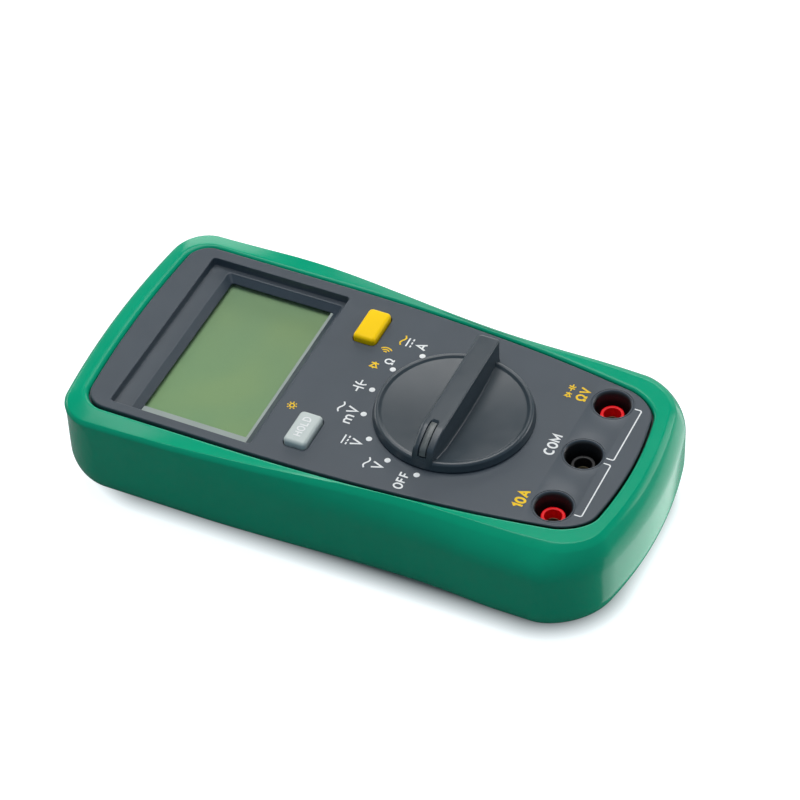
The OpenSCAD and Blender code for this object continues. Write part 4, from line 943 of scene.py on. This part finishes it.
def stripGrid():
    # Pointer: a band along the nose of the bar, round at its inner end, let into the slot
    k, p = knob, pointer
    endX = -k["radius"] + k["stripLength"]
    half = k["strip"] / 2
    shown = (barTopZ > panelZ + k["rim"] + k["stripFoot"]) & (barX < endX + half - p["clear"])
    x, z, normal = barX[shown], barTopZ[shown], barNormal[shown]
    width = np.sqrt(np.maximum(half ** 2 - np.maximum(x - endX, 0) ** 2, p["leastSquare"]))
    deep = k["stripDepth"] - k["slip"]
    top = [(p["shoulder"], k["slip"]), (0, k["slip"] - p["crown"])]
    section = np.array([(-1, deep), *p["side"], *top])
    section = np.concatenate([section, section[-2::-1] * (-1, 1)])
    y = width[:, None] * section[:, 0]
    sink = section[None, :, 1]
    place = np.stack([x[:, None] - sink * normal[:, :1], y, z[:, None] - sink * normal[:, 1:]], -1)
    return place + (knobX, knobY, 0)


makePiece("selector_cap", tubeParts(discGrid()) + flipped(tubeParts(barGrid())), finish["knob_grey"],
          "selector", ["selector_knob"], sharpAngle=35)
makePiece("pointer_strip", flipped(tubeParts(stripGrid())), finish["pointer_pale"],
          "selector", ["pointer_inlay"], sharpAngle=35)
print("selector knob in place")


# Jack sleeves and barrels

jacks = {"outer": 3.05, "bore": 2.15, "room": 2.55, "edge": 0.22, "lip": 3.0, "foot": 4.4, "flange": 1.5}
barrels = {
    "outer": 2.5, "bore": 2.0, "foot": 4.4, "flange": 0.8, "end": 1.0, "cone": 0.4,
    "edge": 0.1, "mouth": 0.15, "pole": 0.3,
}


def sleeveParts(centre, node):
    # Closed profile turned round the bore: flange, outer wall, rounded lip, bore and the wider room below it
    j = jacks
    z0, z1 = (corner[2] for corner in boxOf(node))
    flangeZ = z0 + j["flange"]
    out, up = quarterRound(j["edge"], 0, 90)
    profile = [(j["room"], z0), (j["foot"], z0), (j["foot"], flangeZ), (j["outer"], flangeZ)]
    profile += list(zip(j["outer"] - j["edge"] + out, z1 - j["edge"] + up))
    profile += list(zip(j["bore"] + j["edge"] - out[::-1], z1 - j["edge"] + up[::-1]))
    profile += [(j["bore"], z1 - j["lip"]), (j["room"], z1 - j["lip"])]
    return [gridPart(turned(profile, centre), True)]


def barrelParts(centre, node):
    # Profile from pole to pole: end, outer wall with its flange, broken edges, bore and a coned floor
    b = barrels
    z0, z1 = (corner[2] for corner in boxOf(node))
    floor, flangeZ = z0 + b["end"], sleeveFoot - b["flange"]
    out, bore, e, m = b["outer"], b["bore"], b["edge"], b["mouth"]
    profile = [(b["pole"], z0), (out, z0), (out, flangeZ), (b["foot"], flangeZ), (b["foot"], sleeveFoot),
               (out, sleeveFoot), (out, z1 - e), (out - e, z1), (bore + m, z1), (bore, z1 - m),
               (bore, floor + b["cone"]), (bore - b["cone"], floor), (b["pole"], floor)]
    return tubeParts(turned(profile, centre))


for jack in ("amps", "common", "volts"):
    at = mountAt["jack_" + jack][:2]
    for kind, partsOf in (("sleeve", sleeveParts), ("barrel", barrelParts)):
        node = "jack_" + kind + "_" + jack
        slot = slotOf[node]
        makePiece(kind + "_" + jack, partsOf(at, node), finish[slot], "meter", [node])
print("jacks in place")


# Marks printed on the face: strokes on a letter one unit high

def oval(centre, radii, start=0, end=360, count=25):
    return [tuple(p) for p in arcPath(centre, radii, start, end, count)]


wave = np.linspace(0, 2 * math.pi, 21)
strokes = {
    "V": [[(0, 1), (0.37, 0), (0.74, 1)]],
    "A": [[(0, 0), (0.39, 1), (0.78, 0)], [(0.14, 0.33), (0.64, 0.33)]],
    "O": [oval((0.36, 0.5), (0.36, 0.5))],
    "0": [oval((0.31, 0.5), (0.31, 0.5))],
    "C": [oval((0.40, 0.5), (0.40, 0.5), 48, 312)],
    "M": [[(0, 0), (0, 1), (0.44, 0.22), (0.88, 1), (0.88, 0)]],
    "F": [[(0, 0), (0, 1), (0.52, 1)], [(0, 0.52), (0.44, 0.52)]],
    "H": [[(0, 0), (0, 1)], [(0.60, 0), (0.60, 1)], [(0, 0.5), (0.60, 0.5)]],
    "L": [[(0, 1), (0, 0), (0.50, 0)]],
    "D": [[(0, 0), (0, 1)] + oval((0.20, 0.5), (0.42, 0.5), 90, -90, 13) + [(0, 0)]],
    "1": [[(0, 0.76), (0.28, 1), (0.28, 0)]],
    "m": [[(0, 0), (0, 0.70)], oval((0.24, 0.46), (0.24, 0.24), 180, 0, 9) + [(0.48, 0)],
          oval((0.72, 0.46), (0.24, 0.24), 180, 0, 9) + [(0.96, 0)]],
    "ohm": [[(0, 0), (0.26, 0)] + oval((0.42, 0.55), (0.38, 0.45), 245, -65, 21) + [(0.58, 0), (0.84, 0)]],
    "direct": [[(0, 0.72), (1.2, 0.72)]] + [[(x, 0.28), (x + 0.28, 0.28)] for x in (0, 0.46, 0.92)],
    "alternating": [list(zip(0.22 * wave, 0.5 + 0.17 * np.sin(wave)))],
    "capacitor": [[(0, 0.5), (0.52, 0.5)], [(0.52, 0), (0.52, 1)], [(0.86, 0.5), (1.4, 0.5)],
                  oval((1.36, 0.5), (0.52, 0.66), 130, 230, 9)],
    "diode": [[(0, 0.5), (0.22, 0.5)], [(0.22, 0.08), (0.22, 0.92), (0.86, 0.5), (0.22, 0.08)],
              [(0.86, 0.04), (0.86, 0.96)], [(0.86, 0.5), (1.1, 0.5)]],
    "sound": [oval((0, 0.5), (r, r), -48, 48, 9) for r in (0.22, 0.52, 0.82)],
    "sun": [oval((0.5, 0.5), (0.26, 0.26))] + [[(0.5 + r * c, 0.5 + r * s) for r in (0.40, 0.58)]
                                               for c, s in arcPath((0, 0), (1, 1), 0, 315, 8)],
}
legend = {
    "proud": 0.035, "sunk": 0.03, "layer": 0.003, "spacing": 0.34, "mitre": 0.45,
    "dot": 0.78, "dotEdge": (0.03, 0.01), "dotCount": 32, "dotRing": 22.6, "dots": (45.0, 180.0, 7),
}

# word or mark, middle of it from the knob axis, height, stroke, ink
marks = [
    (["A"], (19.0, 17.6), 2.5, 0.50, "white"), (["direct"], (19.2, 20.9), 2.6, 0.40, "white"),
    (["alternating"], (19.4, 22.9), 2.6, 0.42, "yellow"), (["ohm"], (10.9, 22.9), 2.1, 0.42, "white"),
    (["sound"], (14.3, 25.4), 2.4, 0.36, "yellow"), (["diode"], (8.3, 25.9), 2.2, 0.38, "yellow"),
    (["capacitor"], (0.15, 26.2), 3.0, 0.42, "white"), (["m"], (-11.7, 24.0), 2.7, 0.46, "white"),
    (["V"], (-8.4, 24.1), 2.6, 0.50, "white"), (["alternating"], (-8.4, 27.2), 2.7, 0.42, "white"),
    (["V"], (-18.3, 18.4), 2.6, 0.50, "white"), (["direct"], (-18.4, 21.2), 2.6, 0.40, "white"),
    (["V"], (-23.5, 10.2), 2.6, 0.50, "white"), (["alternating"], (-23.5, 13.1), 2.7, 0.42, "white"),
    (["O", "F", "F"], (-25.8, 2.7), 2.2, 0.44, "white"), (["C", "O", "M"], (0.1, -26.6), 2.3, 0.54, "white"),
    (["1", "0", "A"], (-19.8, -26.7), 2.4, 0.62, "yellow"),
    (["ohm", "V"], (19.2, -26.7), 2.3, 0.52, "yellow"),
    (["diode", "capacitor"], (19.2, -23.3), 1.7, 0.34, "yellow"),
    (["sun"], (-12.8, 38.7), 2.3, 0.34, "yellow"),
]
holdWord = (["H", "O", "L", "D"], (-20.1, 32.2), 1.9, 0.36)
brackets = {"y": -42.4, "rise": 1.9, "turn": 0.5, "stroke": 0.34, "spans": ((-19.7, -0.9), (0.9, 19.5))}


def faceHeight(x, y):    # the face is flat
    return np.full(np.shape(x), panelZ)


def holdHeight(x, y):    # the pillow of the hold key
    return crownAt(x, y, -keys["x"])


def ribbonParts(path, stroke, heightAt, raised=0.0):
    # Slab of constant width along a path, mitred at its bends and laid on a surface
    path = np.asarray(path, float)
    closed = np.allclose(path[0], path[-1])
    if closed:
        path = path[:-1]
    before = path - np.roll(path, 1, axis=0)
    after = np.roll(path, -1, axis=0) - path
    if not closed:
        before[0], after[-1] = after[0], before[-1]
    before, after = (d / np.hypot(*d.T)[:, None] for d in (before, after))
    along = before + after
    along /= np.hypot(*along.T)[:, None]
    out = np.column_stack([-along[:, 1], along[:, 0]])
    reach = stroke / 2 / np.maximum((before * along).sum(1), legend["mitre"])
    left, right = path + out * reach[:, None], path - out * reach[:, None]
    grid = np.stack([lifted(p, heightAt(*p.T) + h) for p, h in (
        (left, -legend["sunk"]), (right, -legend["sunk"]),
        (right, legend["proud"] + raised), (left, legend["proud"] + raised))], axis=1)
    sides = gridPart(grid, closed)
    if closed:
        return flipped([sides])
    ends = [(grid[0], np.array([[0, 1, 2, 3]])), (grid[-1], np.array([[3, 2, 1, 0]]))]
    return flipped([sides] + ends)


def wordParts(letters, centre, height, stroke, heightAt):
    # Letters set side by side and centred on a place
    parts, at, laid = [], 0.0, []
    for letter in letters:
        right = max(x for line in strokes[letter] for x, _ in line)
        laid.append((letter, at))
        at += right + legend["spacing"]
    left = -(at - legend["spacing"]) / 2
    for letter, start in laid:
        for n, line in enumerate(strokes[letter]):
            path = (np.array(line) + (left + start, -0.5)) * height + centre + (knobX, knobY)
            parts += ribbonParts(path, stroke, heightAt, legend["layer"] * n)
    return parts


def dotParts(angle):    # low disc with a broken edge, on a ring about the knob's axis
    at = np.array([knobX, knobY]) + arcPath((0, 0), (legend["dotRing"],) * 2, angle, angle, 1)[0]
    r, top = legend["dot"], panelZ + legend["proud"]
    edgeIn, edgeDown = legend["dotEdge"]
    profile = [(r, panelZ - legend["sunk"]), (r, top - edgeDown), (r - edgeIn, top)]
    return tubeParts(turned(profile, at, legend["dotCount"]))


def bracketPath(x0, x1):    # down, along and up again, round at both turns
    y, low, r = brackets["y"] + brackets["rise"], brackets["y"], brackets["turn"]
    left = arcPath((x0 + r, low + r), (r, r), 180, 270, 7)
    right = arcPath((x1 - r, low + r), (r, r), 270, 360, 7)
    return np.concatenate([[(x0, y)], left, right, [(x1, y)]]) + (knobX, knobY)


printed = {"white": [], "yellow": []}
for letters, centre, height, stroke, paint in marks:
    printed[paint] += wordParts(letters, centre, height, stroke, faceHeight)
for angle in np.linspace(*legend["dots"]):
    printed["white"] += dotParts(angle)
for x0, x1 in brackets["spans"]:
    printed["white"] += ribbonParts(bracketPath(x0, x1), brackets["stroke"], faceHeight)
for paint, parts in printed.items():
    material, slot = ink[paint]
    makePiece("marks_" + paint, parts, material, "meter")
makePiece("hold_word", wordParts(*holdWord, holdHeight), ink["white"][0], "hold_button")
print("marks:", len(marks), "words and signs")


# Camera and stage

view = {
    "target": (-0.55, -6.16, 29.2), "distance": 833.9, "azimuth": -63.65, "elevation": 44.81, "roll": -2.26,
    "focal": 149.9, "sensor": 36, "nearest": 0.01,
}


def placeCamera():
    # Stands off from the target along its azimuth and elevation, then rolls about its own axis
    az, el, roll = (math.radians(view[k]) for k in ("azimuth", "elevation", "roll"))
    back = Vector((math.sin(az) * math.cos(el), -math.cos(az) * math.cos(el), math.sin(el)))
    right = Vector((0, 0, 1)).cross(back).normalized()
    up = back.cross(right)
    across = right * math.cos(roll) + up * math.sin(roll)
    above = up * math.cos(roll) - right * math.sin(roll)
    place = (Vector(view["target"]) + back * view["distance"]) * mm
    data = bpy.data.cameras.new("photoCamera")
    data.lens = view["focal"]
    data.sensor_width = view["sensor"]
    data.clip_start = view["nearest"]
    camera = bpy.data.objects.new("photoCamera", data)
    camera.matrix_world = Matrix.Translation(place) @ Matrix((across, above, back)).transposed().to_4x4()
    bpy.context.scene.collection.objects.link(camera)
    bpy.context.scene.camera = camera


studio = {
    "floorSize": 8.0, "floorDrop": 0.00005, "floorColour": 0.36, "floorRoughness": 0.9,
    # floorGlow runs from the painted shadow at the meter's foot to full glow; glowTint gives that painted shadow a
    # cool cast
    "floorGlow": (0.03, 1.0), "glowStart": 16.5, "glowEnd": 23.5, "glowCorner": 24.0,
    "glowTint": (0.92, 0.98, 1.0),
    "farWay": (0.87, 0.43, 0.25), "farEdge": (-0.3, 0.4), "nearSky": 0.34, "nearTint": (0.75, 1.0, 1.25),
    "farSky": ((0.0, 0.8), (0.10, 0.8), (0.22, 0.12), (0.82, 0.10), (0.92, 0.2)),    # height and strength
}
# place, direction of its back, width, height in metres and radiance
lamps = {
    "softbox": ((0.27, 0.135, 1.00), (0.27, 0.135, 1.00), 0.80, 0.80, 3.4),
    "farStrip": ((1.17, 0.41, 0.40), (1.17, 0.41, 0.40), 1.00, 0.50, 2.4),
    "jackStrip": ((0.80, -0.86, 0.26), (0.80, -0.86, 0.26), 0.50, 0.50, 3.0),
    "displayStrip": ((0.38, 1.12, 0.16), (0.38, 1.12, 0.16), 0.60, 0.30, 3.0),
    "jackCard": ((0.045, -0.1180, 0.0002), (0.0, 0.0, -1.0), 0.14, 0.081, 1.2),
}


def backgroundRays(tree):    # 1 for the rays that show the background
    path = addNode(tree, "ShaderNodeLightPath").outputs
    rays = {0: path["Is Camera Ray"], 1: path["Is Transmission Ray"]}
    return addNode(tree, "ShaderNodeMath", rays, operation="MAXIMUM").outputs[0]


def paintedShadowGlow(tree):
    # Grows with the distance from a rounded rectangle under the meter: a painted shadow, with the floor glowing
    # dimly at the meter's foot and fully further out
    corner = studio["glowCorner"] * mm
    half = [max(-low, high) - corner for low, high in zip(*cadBox)][:2]
    place = addNode(tree, "ShaderNodeTexCoord")
    size = addNode(tree, "ShaderNodeVectorMath", {0: place.outputs["Object"]}, operation="ABSOLUTE")
    past = addNode(tree, "ShaderNodeVectorMath", {0: size.outputs[0]}, {1: (*half, 1)}, operation="SUBTRACT")
    out = addNode(tree, "ShaderNodeVectorMath", {0: past.outputs[0]}, {1: (0, 0, 0)}, operation="MAXIMUM")
    away = addNode(tree, "ShaderNodeVectorMath", {0: out.outputs[0]}, operation="LENGTH")
    reach = (studio[k] * mm for k in ("glowStart", "glowEnd"))
    return spreadOf(tree, away.outputs["Value"], *studio["floorGlow"], *reach)


def makeFloor():
    half, z = studio["floorSize"] / 2, -studio["floorDrop"]
    corners = [(x * half, y * half, z) for x, y in ((-1, -1), (1, -1), (1, 1), (-1, 1))]
    mesh = bpy.data.meshes.new("floor")
    mesh.from_pydata(corners, [], [(0, 1, 2, 3)])
    material, shader = newMaterial("floorWhite")
    tree = material.node_tree
    shader.inputs["Base Color"].default_value = (studio["floorColour"],) * 3 + (1,)
    shader.inputs["Roughness"].default_value = studio["floorRoughness"]
    shader.inputs["Specular IOR Level"].default_value = 0.0
    shader.inputs["Emission Color"].default_value = (*studio["glowTint"], 1)
    glow = addNode(tree, "ShaderNodeMath", {0: backgroundRays(tree), 1: paintedShadowGlow(tree)}, operation="MULTIPLY")
    tree.links.new(glow.outputs[0], shader.inputs["Emission Strength"])
    mesh.materials.append(material)
    floor = bpy.data.objects.new("floor", mesh)
    bpy.context.scene.collection.objects.link(floor)


def makeSky():
    # White to the eye; as light it is bright near the horizon of the far side, dim above that, and a cool
    # fill on the near side
    world = bpy.data.worlds.new("studioSky")
    bpy.context.scene.world = world
    world.use_nodes = True
    tree = world.node_tree
    place = addNode(tree, "ShaderNodeTexCoord")
    way = addNode(tree, "ShaderNodeVectorMath", {0: place.outputs["Generated"]}, {1: studio["farWay"]},
                  operation="DOT_PRODUCT")
    far = spreadOf(tree, way.outputs["Value"], 0, 1, *studio["farEdge"])
    axes = addNode(tree, "ShaderNodeSeparateXYZ", {0: place.outputs["Generated"]})
    band = addNode(tree, "ShaderNodeValToRGB", {"Fac": axes.outputs["Z"]})
    for _ in studio["farSky"][2:]:
        band.color_ramp.elements.new(0.5)
    for element, (at, level) in zip(band.color_ramp.elements, studio["farSky"]):
        element.position = at
        element.color = (level, level, level, 1)
    light = addNode(tree, "ShaderNodeMix", {"Factor": far, 3: band.outputs["Color"]}, {2: studio["nearSky"]})
    eye = backgroundRays(tree)
    seen = addNode(tree, "ShaderNodeMix", {"Factor": eye, 2: light.outputs[0]}, {3: 1.0})
    cool, white = (*studio["nearTint"], 1), (1, 1, 1, 1)
    tint = addNode(tree, "ShaderNodeMix", {"Factor": far}, {6: cool, 7: white}, data_type="RGBA")
    shown = addNode(tree, "ShaderNodeMix", {"Factor": eye, 6: tint.outputs[2]}, {7: white}, data_type="RGBA")
    tree.links.new(shown.outputs[2], tree.nodes["Background"].inputs["Color"])
    tree.links.new(seen.outputs[0], tree.nodes["Background"].inputs["Strength"])


def makeLamp(name, place, back, width, height, radiance):
    # An area lamp's power is four times its radiance times its area
    data = bpy.data.lights.new(name, "AREA")
    data.shape = "RECTANGLE"
    data.size = width
    data.size_y = height
    data.energy = 4 * radiance * width * height
    lamp = bpy.data.objects.new(name, data)
    lamp.visible_camera = False
    aim = Vector(back).to_track_quat("Z", "Y").to_matrix().to_4x4()
    lamp.matrix_world = Matrix.Translation(Vector(place)) @ aim
    bpy.context.scene.collection.objects.link(lamp)


placeCamera()
makeFloor()
makeSky()
for name, values in lamps.items():
    makeLamp(name, *values)
bpy.context.scene.view_settings.view_transform = "Standard"
print("camera, floor and light in place")
